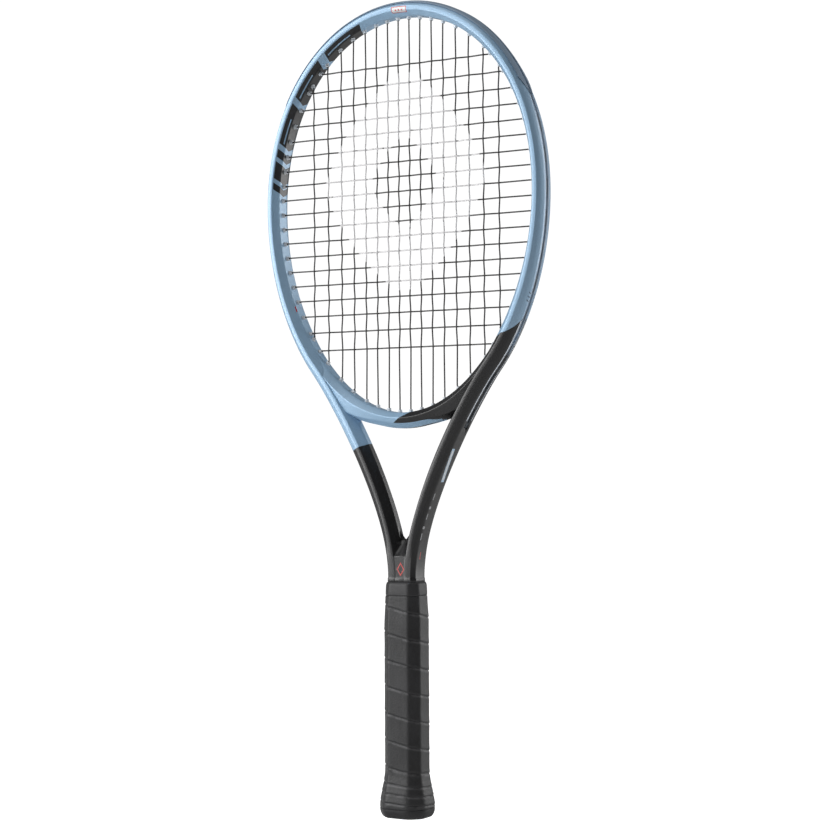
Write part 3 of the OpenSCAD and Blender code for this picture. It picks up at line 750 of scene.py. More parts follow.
def guard_outline(s):
    """Half of the guard's section as (rise over the tube, depth)."""
    thick = mix(GUARD_T, 0.75, ramp(abs(s), 26, 55))
    under = [(tube_drop(s, v) + 0.05, v) for v in (GROOVE_HALF, 5.0, 6.8, 8.2, WING_V)]
    edge = tube_drop(s, WING_V)
    over = [(edge + 0.35, WING_V + 0.22), (edge + 0.62, WING_V - 0.05)]
    over += [(tube_drop(s, v) + share * thick, v) for v, share in [(7.4, 0.75), (6.0, 0.95), (4.6, 1)]]
    over += [(thick, 3.2), (thick, CHANNEL_HALF + 0.35), (thick - 0.25, CHANNEL_HALF + 0.05),
             (-GROOVE_DEPTH + 0.7, CHANNEL_HALF), (-GROOVE_DEPTH + 0.5, CHANNEL_HALF - 0.15)]
    lip = groove_lip(s)
    tongue = [(lip - GROOVE_DEPTH + 0.06, 0.0), (lip - GROOVE_DEPTH + 0.06, GROOVE_HALF - 0.25),
              (lip - 0.3, GROOVE_HALF - 0.12)]
    return tongue + under + over + [(-GROOVE_DEPTH + 0.5, 0.0)]


def bumper_guard():
    """The guard over the tip, its wings a little shorter than its middle, with the barrels it carries."""
    rings = []
    for q in np.linspace(-1, 1, 93):
        base = q * GUARD_END_MIDDLE
        half = guard_outline(base)
        outline = half + [(u, -v) for u, v in half[-2:0:-1]]
        ring = []
        for u, v in outline:
            end = mix(GUARD_END_MIDDLE, GUARD_END_WING, max(0, abs(v) - 2) / (WING_V - 2))
            ring.append(in_plane(outside(q * end, u), v))
        rings.append(ring)
    shells = Shells().loft(rings)
    for hole in TOP_HOLES + [h for h in CROSS_HOLES if h.s < STRIP_FROM]:
        for side in (-1, 1):
            barrel(shells, hole, side)
    return shells.build("bumper", "bumper_guard", "guard_plastic", 35)


# ---------- handle ----------

def superellipse(walls, power):
    """A rounded outline; walls holds, for each direction, one over the distance to each wall."""
    return directions(len(walls)) / np.sum(walls ** power, axis=1)[:, None] ** (1 / power)


def octagon(grow, corner_r, count):
    """The handle's octagon with rounded corners, as points at even steps of direction."""
    x, y = HANDLE_HALF_X + grow, HANDLE_HALF_Y + grow
    diagonal = unit([1, 1])
    reach = float(diagonal @ np.array([x - HANDLE_BEVEL - BEVEL_GROWTH * grow, y]))
    q = np.abs(directions(count))
    return superellipse(np.column_stack([q[:, 0] / x, q[:, 1] / y, q @ diagonal / reach]), 60 / corner_r)


def rectangle(x_half, y_low, y_high, count):
    """A rectangle's outline as points at the same directions as octagon()."""
    walls = np.abs(directions(count)) / [x_half, (y_high - y_low) / 2]
    return superellipse(walls, 30) + [0, (y_low + y_high) / 2]


def rounded_opening(x, y, r, count):
    """A rounded rectangle as points at the same directions as octagon()."""
    def reach(t, way):
        p = np.abs(way * t) - [x - r, y - r]
        return np.linalg.norm(np.maximum(p, 0)) - r + min(max(p), 0)

    return np.array([way * root(lambda t: reach(t, way), 1, 40) for way in directions(count)])


def stacked(*levels):
    """Rings in space from pairs of (outline, height)."""
    return [np.column_stack([outline, np.full(len(outline), z)]) for outline, z in levels]


def flare(z):
    return BUTT_FLARE * (1 - ramp(z, RIM_Z, FLARE_TOP))


SEAM_TOP_Z = 172.9
SEAM_PITCH = 22.2
LOW_PITCH = 9.0
LOW_SEAMS = [(39.7, 6.0), (27.5, 7.0), (20.0, 8.0), (12.5, 9.0), (5.0, 10.0)]


def turns_at(z):
    """How many turns of the wrap lie between the top seam and height z, on the front's middle."""
    if z >= LOW_SEAMS[0][0]:
        return (SEAM_TOP_Z - z) / SEAM_PITCH
    heights, turns = zip(*LOW_SEAMS[::-1])
    return float(np.interp(z, heights, turns))


def seam_height(gap):
    """Height of the surface near a seam; gap is the distance above it."""
    valley = -0.75 * math.exp(-((gap - 0.1) / 0.6) ** 2)
    upper = 0.42 * math.exp(-max(gap - 0.7, 0) / 3.2) * ramp(gap, 0.0, 0.9)
    lower = 0.2 * math.exp(-max(-gap - 0.7, 0) / 2.4) * ramp(-gap, 0.1, 1.2)
    return valley + upper + lower


def wobble(a, z, seed):
    """A smooth uneven value round the handle, from a few sines."""
    value = 0.0
    for k in range(1, 6):
        value += math.sin(k * a * (1 + seed % 3) + z * (0.11 + 0.09 * k) + seed * k * 1.7) / k
    return value / 2.2


def seam_gap(z, a):
    """How far the point at height z and direction a lies above the nearest seam."""
    around = ((a + math.pi / 2) / (2 * math.pi)) % 1.0
    if around > 0.5:
        around -= 1.0
    phase = turns_at(z) - around
    pitch = SEAM_PITCH if z > LOW_SEAMS[0][0] else LOW_PITCH
    return (math.floor(phase + 0.5) - phase) * pitch


def wrap_outer(z, a):
    """Growth of the wrapped surface over the plain octagon at height z and direction a."""
    softened = 0.75 if z > LOW_SEAMS[0][0] else 0.6
    return softened * seam_height(seam_gap(z, a)) + 0.07 * wobble(a, z, 3)


def polish(z, a):
    """1 on the band just under a seam, where a highlight is painted into the colour, and 0 away from it."""
    return math.exp(-((seam_gap(z, a) + 1.1) / 0.8) ** 2)


def grip_wrap():
    """The wrapped grip: a sleeve whose outer surface carries the seams, with tucked hems."""
    count = 160
    heights = np.concatenate([np.arange(RIM_Z + 0.1, 30, 0.7), np.arange(30, WRAP_TOP - 0.4, 0.75),
                              [WRAP_TOP - 0.3, WRAP_TOP]])
    angles = 2 * math.pi * np.arange(count) / count
    outer, inner, highlight_shares = [], [], []
    for z in heights:
        taper = 0.95 * ramp(z, 160, WRAP_TOP)
        hem = 0.35 * ramp(z, WRAP_TOP - 0.8, WRAP_TOP) + 0.3 * (1 - ramp(z, RIM_Z, RIM_Z + 1))
        ring = octagon(flare(z) - taper - hem, 1.5 + flare(z) * 0.35, count)
        edge = ramp(z, RIM_Z, RIM_Z + 2) * (1 - ramp(z, WRAP_TOP - 2, WRAP_TOP))
        swell = edge * np.array([wrap_outer(z, a) for a in angles])
        # Shares of the painted highlight under the seams, carried to the grip's colour.
        highlight_shares += [polish(z, a) for a in angles]
        outer.append((ring * (1 + swell / np.linalg.norm(ring, axis=1))[:, None], z))
        inner.append((octagon(flare(z) - WRAP_T + 0.05, 1.5, count), z))
    shells = Shells().closed_loft(stacked(*outer, *inner[::-1]), polish=highlight_shares + [0.0] * len(highlight_shares))
    return shells.build("wrapped_grip", "grip_wrap", "grip_cover", 60)


CAP_TOP = 38.0
CAP_FLOOR = 4.0
DOOR_HALF = 8.5
DOOR_GAP = 0.25


def butt_cap():
    """The flared cap: a skirt inside the wrap, a rolled rim, a dished end and the door's opening."""
    count = 128
    low_y, high_y = door_box[0][1] - DOOR_GAP, door_box[1][1] + DOOR_GAP

    def under_wrap(z, grow, corner_r):
        return octagon(flare(z) + grow, corner_r, count)

    def opening(grow):
        return rectangle(DOOR_HALF + DOOR_GAP + grow, low_y - grow, high_y + grow, count)

    skirt = [(under_wrap(z, -WRAP_T, 1.5), z) for z in [CAP_TOP, *np.arange(CAP_TOP - 3, RIM_Z + 0.5, -3)]]
    shoulder = [(under_wrap(0, grow, corner_r), RIM_Z + rise)
                for grow, corner_r, rise in [(-WRAP_T, 2, 0.3), (-0.45, 3, 0.05), (-0.08, 3, -0.35)]]
    rim = []
    for a in np.linspace(10, 90, 12):
        r = math.radians(a)
        drop = 6.2 * (1 - math.cos(r) ** 0.9)
        rim.append((under_wrap(0, -0.7 * drop, 3.2), (RIM_Z - 1.2) * (1 - math.sin(r) ** 1.3)))
    dish = under_wrap(0, -7.5, 3.2)
    end = [(mix(rim[-1][0], dish, 0.9), 0.0), (dish, 0.25), (dish * 0.97, 0.45), (opening(1.0), 0.45),
           (mix(opening(1.0), opening(0), 0.4), 0.1), (opening(0), 0.15), (opening(0), CAP_FLOOR)]
    bore = octagon(-WRAP_T - 1.55, 1.5, count)
    shells = Shells().closed_loft(stacked(*skirt, *shoulder, *rim, *end, (bore, CAP_FLOOR), (bore, CAP_TOP)))
    return shells.build("butt_cap_shell", "butt_cap", "cap_plastic", 40)


def soft_box(shells, low, high, r):
    """A box with rounded edges, as a stack of rounded rectangles."""
    low, high = np.array(low, float), np.array(high, float)
    turns = np.linspace(0, math.pi / 2, 4)
    levels = [(low[2] + r * (1 - math.sin(a)), r * (1 - math.cos(a))) for a in turns[::-1]]
    levels += [(high[2] - r * (1 - math.sin(a)), r * (1 - math.cos(a))) for a in turns]
    rings = []
    for z, inset in levels:
        ring = []
        for cx, cy, start in ((1, 1, 0), (-1, 1, 90), (-1, -1, 180), (1, -1, 270)):
            x, y = (high[0] - r if cx > 0 else low[0] + r), (high[1] - r if cy > 0 else low[1] + r)
            for a in np.radians(start + 18 * np.arange(6)):
                ring.append((x + (r - inset) * math.cos(a), y + (r - inset) * math.sin(a), z))
        rings.append(ring)
    shells.loft(rings)


HINGE_Y = 5.3
HINGE_Z = 1.5
HINGE_R = 1.2
PIVOT_R = 0.8
DOOR_T = 2.0
RIB_HALF = 5.2
PIVOT_END = DOOR_HALF + 1.4


def cap_door():
    """The trap door: a plate with three finger ribs, on its hinge barrel and pivots."""
    low = door_box[0]
    shells = Shells()
    bottom, top = HINGE_Z - DOOR_T / 2, HINGE_Z + DOOR_T / 2
    soft_box(shells, (-DOOR_HALF, low[1], bottom), (DOOR_HALF, HINGE_Y, top), 0.45)
    for y in (-4.6, -3.2, -1.8):
        soft_box(shells, (-RIB_HALF, y - 0.35, low[2] - 0.02), (RIB_HALF, y + 0.35, low[2] + 0.8), 0.2)
    half_axle = [(HINGE_R, DOOR_HALF - 0.12), (HINGE_R - 0.12, DOOR_HALF), (PIVOT_R, DOOR_HALF),
                 (PIVOT_R, PIVOT_END - 0.15), (PIVOT_R - 0.15, PIVOT_END), (0.001, PIVOT_END)]
    axle = [(r, -x) for r, x in half_axle[::-1]] + half_axle
    shells.revolve(axle, np.array([0, HINGE_Y, HINGE_Z]), np.array([1.0, 0, 0]), 24)
    return shells.build("cap_door", "butt_cap_door", "cap_plastic", 40, "door")


def collar():
    """The rubber collar: a tapered sleeve with a rolled upper lip."""
    count = 128
    low, high = collar_box[0][2], collar_box[1][2]
    mouth = rounded_opening(14.0, 12.1, 5.0, count)
    profile = [(low, -1.35), (low + 0.25, -1.1), (low + 0.9, -1.0), (low + 3, -1.05), (high - 3.4, -1.3),
               (high - 2.2, -1.5), (high - 1.2, -1.85), (high - 0.5, -2.4), (high - 0.1, -3.1), (high, -3.6)]
    outer = [(octagon(grow, 1.8, count), z) for z, grow in profile]
    lip = [(mix(octagon(-3.9, 1.8, count), mouth, 0.7), high - 0.15), (mouth, high - 0.6),
           (mouth, high - 5.0)]
    bore = octagon(-2.2, 1.5, count)
    shells = Shells().closed_loft(stacked(*outer, *lip, (bore, high - 5.0), (bore, low)))
    return shells.build("rubber_collar", "grip_collar", "collar_rubber", 40, "collar")


# ---------- node materials ----------

BOX_EDGE = 0.1


class Paint:
    """One node material; its methods return sockets, so that patterns read as formulas."""

    def __init__(self, name):
        self.material = bpy.data.materials.new(name)
        self.material.use_nodes = True
        self.tree = self.material.node_tree
        self.tree.nodes.clear()
        out = self.tree.nodes.new("ShaderNodeOutputMaterial")
        self.bsdf = self.tree.nodes.new("ShaderNodeBsdfPrincipled")
        self.tree.links.new(self.bsdf.outputs[0], out.inputs[0])
        self.position = self.tree.nodes.new("ShaderNodeTexCoord").outputs["Object"]
        split = self.tree.nodes.new("ShaderNodeSeparateXYZ")
        self.tree.links.new(self.position, split.inputs[0])
        self.x, self.y, self.z = (self.math("MULTIPLY", axis, 1 / MM) for axis in split.outputs)

    def put(self, value, socket):
        if isinstance(value, bpy.types.NodeSocket):
            self.tree.links.new(value, socket)
        elif isinstance(value, tuple):
            socket.default_value = (*value, 1)[:len(socket.default_value)]
        else:
            socket.default_value = value

    def node(self, kind, output, inputs, **settings):
        """A new node with these inputs, by name or number, and settings. Gives one of its outputs."""
        node = self.tree.nodes.new("ShaderNode" + kind)
        for name, value in settings.items():
            setattr(node, name, value)
        for key, value in inputs.items():
            self.put(value, node.inputs[key])
        return node.outputs[output]

    def attribute(self, name):
        return self.node("Attribute", "Fac", {}, attribute_name=name)

    def noise(self, scale, detail=3, rough=0.5, stretch=None):
        place = self.position
        if stretch:
            place = self.node("Mapping", 0, {"Scale": stretch, "Vector": place})
        return self.node("TexNoise", "Fac", {"Scale": scale, "Detail": detail, "Roughness": rough,
                                             "Vector": place})

    def cells(self, scale):
        return self.node("TexVoronoi", "Distance", {"Scale": scale, "Vector": self.position})

    def math(self, kind, a, b=0.0, c=0.0):
        return self.node("Math", 0, {0: a, 1: b, 2: c}, operation=kind)

    def add(self, a, b):
        return self.math("ADD", a, b)

    def less(self, a, b):
        return self.math("SUBTRACT", a, b)

    def scaled(self, a, factor, plus):
        return self.math("MULTIPLY_ADD", a, factor, plus)

    def off(self, a, place):
        """How far a lies from place, either way."""
        return self.math("ABSOLUTE", self.less(a, place))

    def both(self, a, b):
        return self.math("MULTIPLY", a, b)

    def either(self, a, b):
        return self.math("MAXIMUM", a, b)

    def inverse(self, a):
        return self.less(1.0, a)

    def range(self, value, low, high, to_low=0.0, to_high=1.0):
        """to_low below low, to_high above high, smooth in between."""
        numbers = {0: value, 1: low, 2: high, 3: to_low, 4: to_high}
        return self.node("MapRange", 0, numbers, interpolation_type="SMOOTHSTEP")

    def blend(self, share, a, b):
        return self.node("Mix", 2, {0: share, 6: a, 7: b}, data_type="RGBA")

    def above(self, value, limit, soft=0.12):
        """1 where value is over limit, with an edge as wide as soft."""
        return self.range(value, limit - soft, limit + soft)

    def between(self, value, low, high, soft):
        return self.both(self.above(value, low, soft), self.inverse(self.above(value, high, soft)))

    def box(self, a, b, a_mid, b_mid, a_half, b_half, lean=0.0):
        """1 inside a box in the coordinates a and b; lean slides it along a as b grows."""
        a_off = self.off(a, self.scaled(self.less(b, b_mid), lean, a_mid))
        in_a = self.above(self.less(a_half, a_off), 0, BOX_EDGE)
        return self.both(in_a, self.above(self.less(b_half, self.off(b, b_mid)), 0, BOX_EDGE))

    def mottle(self, fine, slow):
        """Even parts of a fine and a slow noise, with more contrast."""
        return self.range(self.add(self.both(fine, 0.5), self.both(slow, 0.5)), 0.35, 0.65)

    def bump(self, height, strength, distance, onto=None):
        inputs = {"Strength": strength, "Distance": distance, "Height": height}
        if onto:
            inputs["Normal"] = onto
        return self.node("Bump", 0, inputs)

    def finish(self, **inputs):
        for name, value in inputs.items():
            self.put(value, self.bsdf.inputs[name.replace("_", " ")])
        return self.material


def tinted(colour, factor):
    return tuple(min(1, c * factor) for c in colour)


BLUE = (0.35, 0.55, 0.76)
PALE_BLUE = (0.48, 0.66, 0.84)
BLACK = (0.010, 0.010, 0.011)
RED = (0.62, 0.06, 0.05)
WHITE = (0.8, 0.82, 0.84)
TRIM = (0.84, 0.91, 1.0)
SLATE = (0.10, 0.16, 0.24)
GREY_MARK = (0.42, 0.43, 0.45)


def painted(paint, dark, marks):
    """Satin metallic blue, satin black where dark is 1, then marks of (mask, colour)."""
    flake = paint.noise(2600, 2)
    cloud = paint.range(paint.noise(14, 3), 0.4, 0.7)
    blue = paint.blend(paint.range(flake, 0.35, 0.7), tinted(BLUE, 0.9), tinted(BLUE, 1.12))
    blue = paint.blend(paint.both(cloud, 0.15), blue, PALE_BLUE)
    black = paint.blend(paint.range(flake, 0.4, 0.75), BLACK, (0.018, 0.018, 0.020))
    colour = paint.blend(dark, blue, black)
    for mask, tint in marks:
        colour = paint.blend(mask, colour, tint)
    rough = paint.add(paint.scaled(dark, -0.04, 0.33), paint.both(paint.noise(90, 4), 0.08))
    peel = paint.bump(paint.noise(420, 2), 0.06, 0.0006, paint.bump(flake, 0.05, 0.0002))
    return paint.finish(Base_Color=colour, Roughness=rough, Metallic=paint.scaled(dark, -0.12, 0.12),
                        Normal=peel, Coat_Weight=paint.scaled(dark, -0.2, 0.35), Coat_Roughness=0.2)


# Runs are millimetres along the tube from the tip. Girths are millimetres round it from its crest,
# plus outwards.
RIGHT_DARK_RUN = 350.6
LEFT_DARK_RUN = 460.3
LEG_DARK_Z = 290
TRIM_RUN, TRIM_HALF = 384.5, 47.5
SLASH_RUN, SLASH_LEAN = 474, -0.13
DASHES = [(503, 3.0), (513, 1.2), (521, 2.6), (531, 1.2), (539, 3.0)]
TICK_RUN = 556
BLOCKS = [(43, 85), (94, 132), (138, 175), (180, 187), (191, 206), (210, 216)]
BLOCK_GIRTH, BLOCK_LEAN, BAR_GIRTH = -11.6, -0.45, -7.2
LABEL_RUN, LABEL_GIRTH = 1.7, -1.9
DIAMOND_X, DIAMOND_Z = 1.0, 206.6


def shoulder_marks(paint, right, rear, rim, far):
    """Thin pale trim lines along both lips of the groove on the right shoulder."""
    front_trim = paint.both(paint.inverse(rear), paint.box(rim, far, 0.9, TRIM_RUN, 0.7, TRIM_HALF))
    rear_trim = paint.both(rear, paint.box(rim, far, 0.5, TRIM_RUN, 0.3, TRIM_HALF))
    return [(paint.both(right, paint.either(front_trim, rear_trim)), TRIM)]


def shaft_marks(paint, outer, far):
    """A white slash with a pale edge, grey dashes and a red tick, on the outer face of the right shaft."""
    forward = paint.both(paint.y, -1)
    slash = paint.box(forward, far, 1.8, SLASH_RUN, 2.2, 15.5, SLASH_LEAN)
    slot = paint.box(forward, far, 1.8, SLASH_RUN, 1.3, 13.5, SLASH_LEAN)
    marks = [(paint.both(slash, paint.inverse(slot)), PALE_BLUE), (slot, WHITE)]
    for k, (place, half) in enumerate(DASHES):
        width = 1.3 if half < 2 else 0.5
        marks.append((paint.box(forward, far, 4.6 + 0.4 * k, place, width, half), GREY_MARK))
    marks.append((paint.box(forward, far, 2.4, TICK_RUN, 0.45, 3.0), RED))
    return [(paint.both(outer, mask), colour) for mask, colour in marks]


def hoop_marks(paint, left, right, far, girth):
    """Leaning black blocks and a red tick inside the left of the hoop, three slate ticks on the right."""
    marks = []
    for start, stop in BLOCKS:
        middle, half = (start + stop) / 2, (stop - start) / 2
        block = paint.box(far, girth, middle, BLOCK_GIRTH, half, 8.8, BLOCK_LEAN)
        if half > 10:
            bar = paint.box(far, girth, middle + 3, BAR_GIRTH, half - 7, 0.55, BLOCK_LEAN)
            block = paint.both(block, paint.inverse(bar))
        marks.append((paint.both(left, block), BLACK))
    marks.append((paint.both(left, paint.box(far, girth, 322, -9.8, 2.6, 0.7, 0.8)), RED))
    for k in range(3):
        tick = paint.box(far, girth, 314 + 3.2 * k, 11.0, 0.5, 1.6, 0.4)
        marks.append((paint.both(right, tick), SLATE))
    return marks


def tip_label(paint, front, run, girth):
    """A white label with a red edge and three red squares, on the front of the tip."""
    parts = [(LABEL_RUN, 7.2, 3.1, RED), (LABEL_RUN, 6.6, 2.5, WHITE)]
    parts += [(-1.4 + 3 * k, 0.7, 0.7, RED) for k in range(3)]
    return [(paint.both(front, paint.box(run, girth, place, LABEL_GIRTH, along, across)), colour)
            for place, along, across, colour in parts]


def throat_diamond(paint):
    """A red diamond outline where the shafts meet."""
    reach = paint.add(paint.math("DIVIDE", paint.off(paint.x, DIAMOND_X), 3.6),
                      paint.math("DIVIDE", paint.off(paint.z, DIAMOND_Z), 5.8))
    return [(paint.between(reach, 0.72, 1.0, 0.04), RED)]


def frame_paint():
    """Blue hoop and black shafts. The right side turns black at the shoulder, the left below the bridge."""
    paint = Paint("frame_paint_finish")
    run, girth, rim = (paint.attribute(name) for name in ("run", "girth", "rim"))
    far = paint.math("ABSOLUTE", run)
    right = paint.above(paint.x, 0, 0.05)
    left = paint.inverse(right)
    rear = paint.above(paint.y, 0, 0.1)
    sag = paint.both(paint.scaled(girth, 0.022, 0.95), girth)
    right_dark = paint.above(paint.add(paint.less(far, RIGHT_DARK_RUN), sag), 0, 0.3)
    left_dark = paint.above(far, LEFT_DARK_RUN, 0.3)
    legs = paint.inverse(paint.above(paint.z, LEG_DARK_Z, 1))
    dark = paint.either(paint.either(paint.both(right, right_dark), paint.both(left, left_dark)), legs)
    marks = shoulder_marks(paint, right, rear, rim, far)
    marks += shaft_marks(paint, paint.both(right, paint.above(girth, 4)), far)
    marks += hoop_marks(paint, left, right, far, girth)
    marks += tip_label(paint, paint.inverse(rear), run, girth)
    return painted(paint, dark, marks + throat_diamond(paint))


def bridge_paint():
    """Blue with a black patch to the right of a diagonal; the underside stays blue up to the web."""
    paint = Paint("bridge_paint_finish")
    taper = paint.range(paint.x, 2, 42, 0, 2.9)
    under = paint.above(paint.less(paint.attribute("under"), taper), 0.0, 0.15)
    diagonal = paint.scaled(paint.less(paint.z, 332), -1.6, paint.add(paint.x, 2.2))
    facet = paint.both(paint.above(diagonal, 0, 0.2), paint.inverse(under))
    return painted(paint, paint.either(facet, paint.above(paint.x, 38, 0.3)), [])


def plastic(name, colour, rough, grain, bump):
    """Moulded plastic: a fine grain, a slow drift of tone, and slightly uneven gloss."""
    paint = Paint(name)
    fine, slow = paint.noise(grain, 4), paint.noise(35, 3)
    tone = paint.blend(paint.mottle(fine, slow), tinted(colour, 0.88), tinted(colour, 1.12))
    return paint.finish(Base_Color=tone, Roughness=paint.scaled(slow, 0.12, rough - 0.06),
                        Normal=paint.bump(fine, bump, 0.0004))


def grommet_plastic(name, colour, shade_below=0):
    """Moulded plastic with paler barrels. Below the given height it is painted nearly black, as painted
    shade in the groove.
    """
    paint = Paint(name)
    fine, slow = paint.noise(800, 4), paint.noise(35, 3)
    shade = paint.mottle(fine, slow)
    body = paint.blend(shade, tinted(colour, 0.93), tinted(colour, 1.07))
    # Painted shade: the body turns nearly black below the given height, where the groove lies in shade.
    body = paint.blend(paint.above(paint.z, shade_below, 3), tinted(colour, 0.12), body)
    ends = paint.blend(shade, (0.70, 0.76, 0.82), (0.80, 0.84, 0.88))
    tone = paint.blend(paint.above(paint.attribute("barrel"), 0.5), body, ends)
    return paint.finish(Base_Color=tone, Roughness=paint.scaled(slow, 0.12, 0.34),
                        Normal=paint.bump(fine, 0.1, 0.0004))


STENCIL_Z = OVAL_Z + 28
STENCIL_HALF_W = 78
STENCIL_HALF_H = 94
STENCIL_HOLE = 0.3
STENCIL_POWER = 1.35


def string_material():
    """Nearly black string with worn patches and a pale diamond-like ring stencilled on the string bed."""
    paint = Paint("string_finish")
    twist = paint.math("SINE", paint.both(paint.attribute("length"), 5.0))
    worn = paint.noise(700, 3)
    colour = paint.blend(paint.range(worn, 0.35, 0.7), (0.028, 0.026, 0.026), (0.05, 0.047, 0.047))
    shares = [paint.math("DIVIDE", paint.math("ABSOLUTE", paint.x), STENCIL_HALF_W),
              paint.math("DIVIDE", paint.off(paint.z, STENCIL_Z), STENCIL_HALF_H)]
    spread = paint.add(*(paint.math("POWER", share, STENCIL_POWER) for share in shares))
    inked = paint.between(spread, STENCIL_HOLE, 1.0, 0.01)
    patchy = paint.range(paint.noise(260, 3), 0.2, 0.42)
    colour = paint.blend(paint.both(inked, patchy), colour, (0.78, 0.77, 0.78))
    return paint.finish(Base_Color=colour, Roughness=0.34, Normal=paint.bump(twist, 0.12, 0.00008),
                        Coat_Weight=0.15)


def grip_material():
    """Black tacky wrap with pores, uneven gloss and a patchy painted highlight on the band under each seam.
    """
    paint = Paint("grip_finish")
    grain = paint.noise(1500, 5, 0.6)
    slow = paint.noise(60, 4, 0.6, (1, 1, 0.5))
    tone = paint.blend(paint.range(slow, 0.3, 0.7), (0.016, 0.016, 0.017), (0.028, 0.028, 0.030))
    tone = paint.blend(paint.both(paint.range(grain, 0.45, 0.75), 0.35), tone, (0.045, 0.045, 0.048))
    # Painted highlight: a patchy lighter band just under each seam, where its raised edge would catch light.
    painted_highlight = paint.both(paint.attribute("polish"), paint.range(paint.noise(150, 3), 0.35, 0.6))
    tone = paint.blend(paint.both(painted_highlight, 0.75), tone, (0.12, 0.12, 0.125))
    skin = paint.bump(paint.cells(620), 0.22, 0.00035, paint.bump(slow, 0.25, 0.0012))
    return paint.finish(Base_Color=tone, Roughness=paint.scaled(slow, 0.18, 0.36),
                        Normal=paint.bump(grain, 0.25, 0.0003, skin), Specular_IOR_Level=0.45,
                        Sheen_Weight=0.08)


def steel():
    """Bright drawn wire."""
    paint = Paint("staple_finish")
    drawn = paint.noise(900, 3, 0.5, (1, 1, 12))
    tone = paint.blend(drawn, (0.55, 0.56, 0.58), (0.8, 0.81, 0.83))
    return paint.finish(Base_Color=tone, Metallic=1.0, Roughness=paint.scaled(drawn, 0.2, 0.2))


def foam():
    """Cream foam with fine cells."""
    paint = Paint("foam_finish")
    cells = paint.cells(900)
    tone = paint.blend(paint.range(cells, 0.1, 0.6), (0.55, 0.50, 0.36), (0.8, 0.76, 0.6))
    return paint.finish(Base_Color=tone, Roughness=0.9, Normal=paint.bump(cells, 0.5, 0.0005))


# ---------- build ----------

def coat(material, *pieces):
    """Gives objects one material and no other."""
    for piece in pieces:
        piece.data.materials.clear()
        piece.data.materials.append(material)


coat(frame_paint(), frame_shell())
coat(bridge_paint(), bridge_shell())
coat(string_material(), string_piece("main_strings", main_path(), "main_string"),
     string_piece("cross_strings", cross_path(), "cross_string"))
coat(grommet_plastic("guard_finish", (0.25, 0.34, 0.45)), bumper_guard())
# The strips are painted nearly black below 384 mm, as painted shade in the groove.
coat(grommet_plastic("strip_finish", (0.30, 0.40, 0.52), 384),
     side_strip("side_strip_right", 1, "grommet_strip_right"),
     side_strip("side_strip_left", -1, "grommet_strip_left"), throat_strip())
coat(grip_material(), grip_wrap())
coat(plastic("cap_finish", (0.016, 0.016, 0.018), 0.42, 1100, 0.3), butt_cap(), cap_door())
coat(plastic("collar_finish", (0.035, 0.035, 0.037), 0.5, 1300, 0.2), collar())


def recoat(material, *nodes):
    """Gives CAD nodes that stay as they are a procedural material."""
    for node in nodes:
        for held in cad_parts[node].material_slots:
            held.material = material


recoat(plastic("pallet_finish", (0.06, 0.06, 0.062), 0.6, 500, 0.3), "pallet_front", "pallet_back")
recoat(foam(), "handle_foam_left", "handle_foam_right", "bridge_foam_core")
recoat(steel(), "butt_cap_staples", "grip_staple")
recoat(plastic("tape_finish", (0.02, 0.02, 0.022), 0.35, 1500, 0.1), "finishing_tape")


# ---------- floor, light and camera ----------

FLOOR_Z = -14 * MM
RACKET_MIDDLE_Z = 0.38


FLOOR_RINGS = (0.6, 2.0, 6.0, 30.0)
FLOOR_SIDES = 64


def stage_floor():
    """A round pale floor, low enough for the open door to hang clear. It glows for the camera only,
    so that it runs into the white backdrop."""
    mesh = bpy.data.meshes.new("floor")
    points = [(r * x, r * y, FLOOR_Z) for r in FLOOR_RINGS for x, y in directions(FLOOR_SIDES)]
    rims = [face[::-1] for face in ring_faces(len(FLOOR_RINGS), FLOOR_SIDES)]
    mesh.from_pydata(points, [], [tuple(range(FLOOR_SIDES))] + rims)
    floor = add_object("floor", mesh)
    paint = Paint("floor_finish")
    seen = paint.node("LightPath", "Is Camera Ray", {})
    tone = paint.blend(paint.noise(3, 2), (0.90, 0.90, 0.90), (0.93, 0.93, 0.93))
    coat(paint.finish(Base_Color=tone, Roughness=0.8, Emission_Color=(1.0, 1.0, 1.0),
                      Emission_Strength=paint.both(seen, 0.95)), floor)


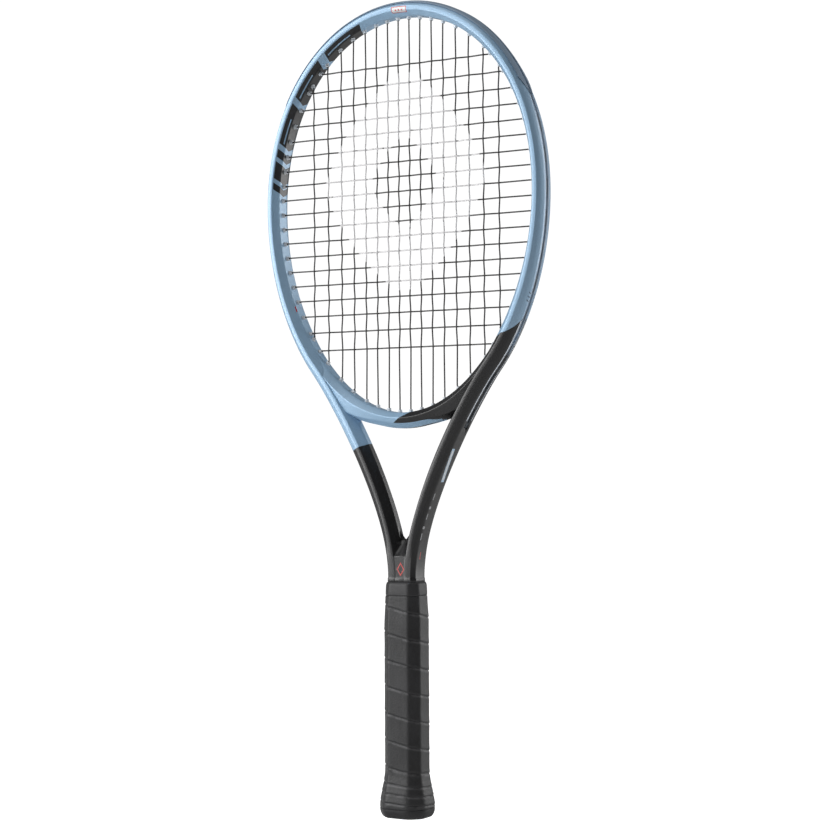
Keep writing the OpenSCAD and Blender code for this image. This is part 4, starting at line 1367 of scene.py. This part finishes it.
def area_light(name, azimuth, elevation, distance, size, power):
    """A soft box that faces the racket. Azimuth 0 is in front of it and 90 to its right."""
    a, e = math.radians(azimuth), math.radians(elevation)
    way = Vector((math.sin(a) * math.cos(e), -math.cos(a) * math.cos(e), math.sin(e)))
    data = bpy.data.lights.new(name, "AREA")
    data.shape = "RECTANGLE"
    data.size, data.size_y = size
    data.energy = power
    lamp = add_object(name, data)
    lamp.location = Vector((0, 0, RACKET_MIDDLE_Z)) + way * distance
    lamp.rotation_mode = "QUATERNION"
    lamp.rotation_quaternion = way.to_track_quat("Z", "Y")


CAMERA_YAW = 29.87
CAMERA_PITCH = 1.87
CAMERA_ROLL = -0.30
CAMERA_PLACE = (841.0, -1456.7, 285.0)
CAMERA_LENS = 87.76


def make_camera():
    yaw, pitch, roll = (math.radians(a) for a in (CAMERA_YAW, CAMERA_PITCH, CAMERA_ROLL))
    ahead = Vector((-math.sin(yaw) * math.cos(pitch), math.cos(yaw) * math.cos(pitch), math.sin(pitch)))
    right = Vector((math.cos(yaw), math.sin(yaw), 0))
    up = right.cross(ahead)
    right, up = right * math.cos(roll) + up * math.sin(roll), up * math.cos(roll) - right * math.sin(roll)
    data = bpy.data.cameras.new("camera")
    data.lens = CAMERA_LENS
    data.sensor_width = 36.0
    data.clip_end = 100
    camera = add_object("camera", data)
    turn = Matrix((right, up, -ahead)).transposed()
    camera.matrix_world = Matrix.Translation(Vector(CAMERA_PLACE) * MM) @ turn.to_4x4()
    bpy.context.scene.camera = camera


def make_world():
    """White for the camera, a dim even grey for the light it gives."""
    world = bpy.data.worlds.new("backdrop")
    world.use_nodes = True
    tree = world.node_tree
    tree.nodes.clear()
    out = tree.nodes.new("ShaderNodeOutputWorld")
    shade = tree.nodes.new("ShaderNodeBackground")
    path = tree.nodes.new("ShaderNodeLightPath")
    shade.inputs["Color"].default_value = (1, 1, 1, 1)
    level = tree.nodes.new("ShaderNodeMapRange")
    level.inputs["To Min"].default_value = 0.14
    level.inputs["To Max"].default_value = 1.05
    tree.links.new(path.outputs["Is Camera Ray"], level.inputs[0])
    tree.links.new(level.outputs[0], shade.inputs["Strength"])
    tree.links.new(shade.outputs[0], out.inputs[0])
    bpy.context.scene.world = world


stage_floor()
make_world()
make_camera()
area_light("key", -44, 12, 2.6, (1.1, 2.4), 56)
area_light("back", 140, 8, 2.2, (0.9, 2.0), 22)
area_light("top", -20, 78, 2.4, (1.6, 1.6), 14)
bpy.context.scene.view_settings.view_transform = "Standard"
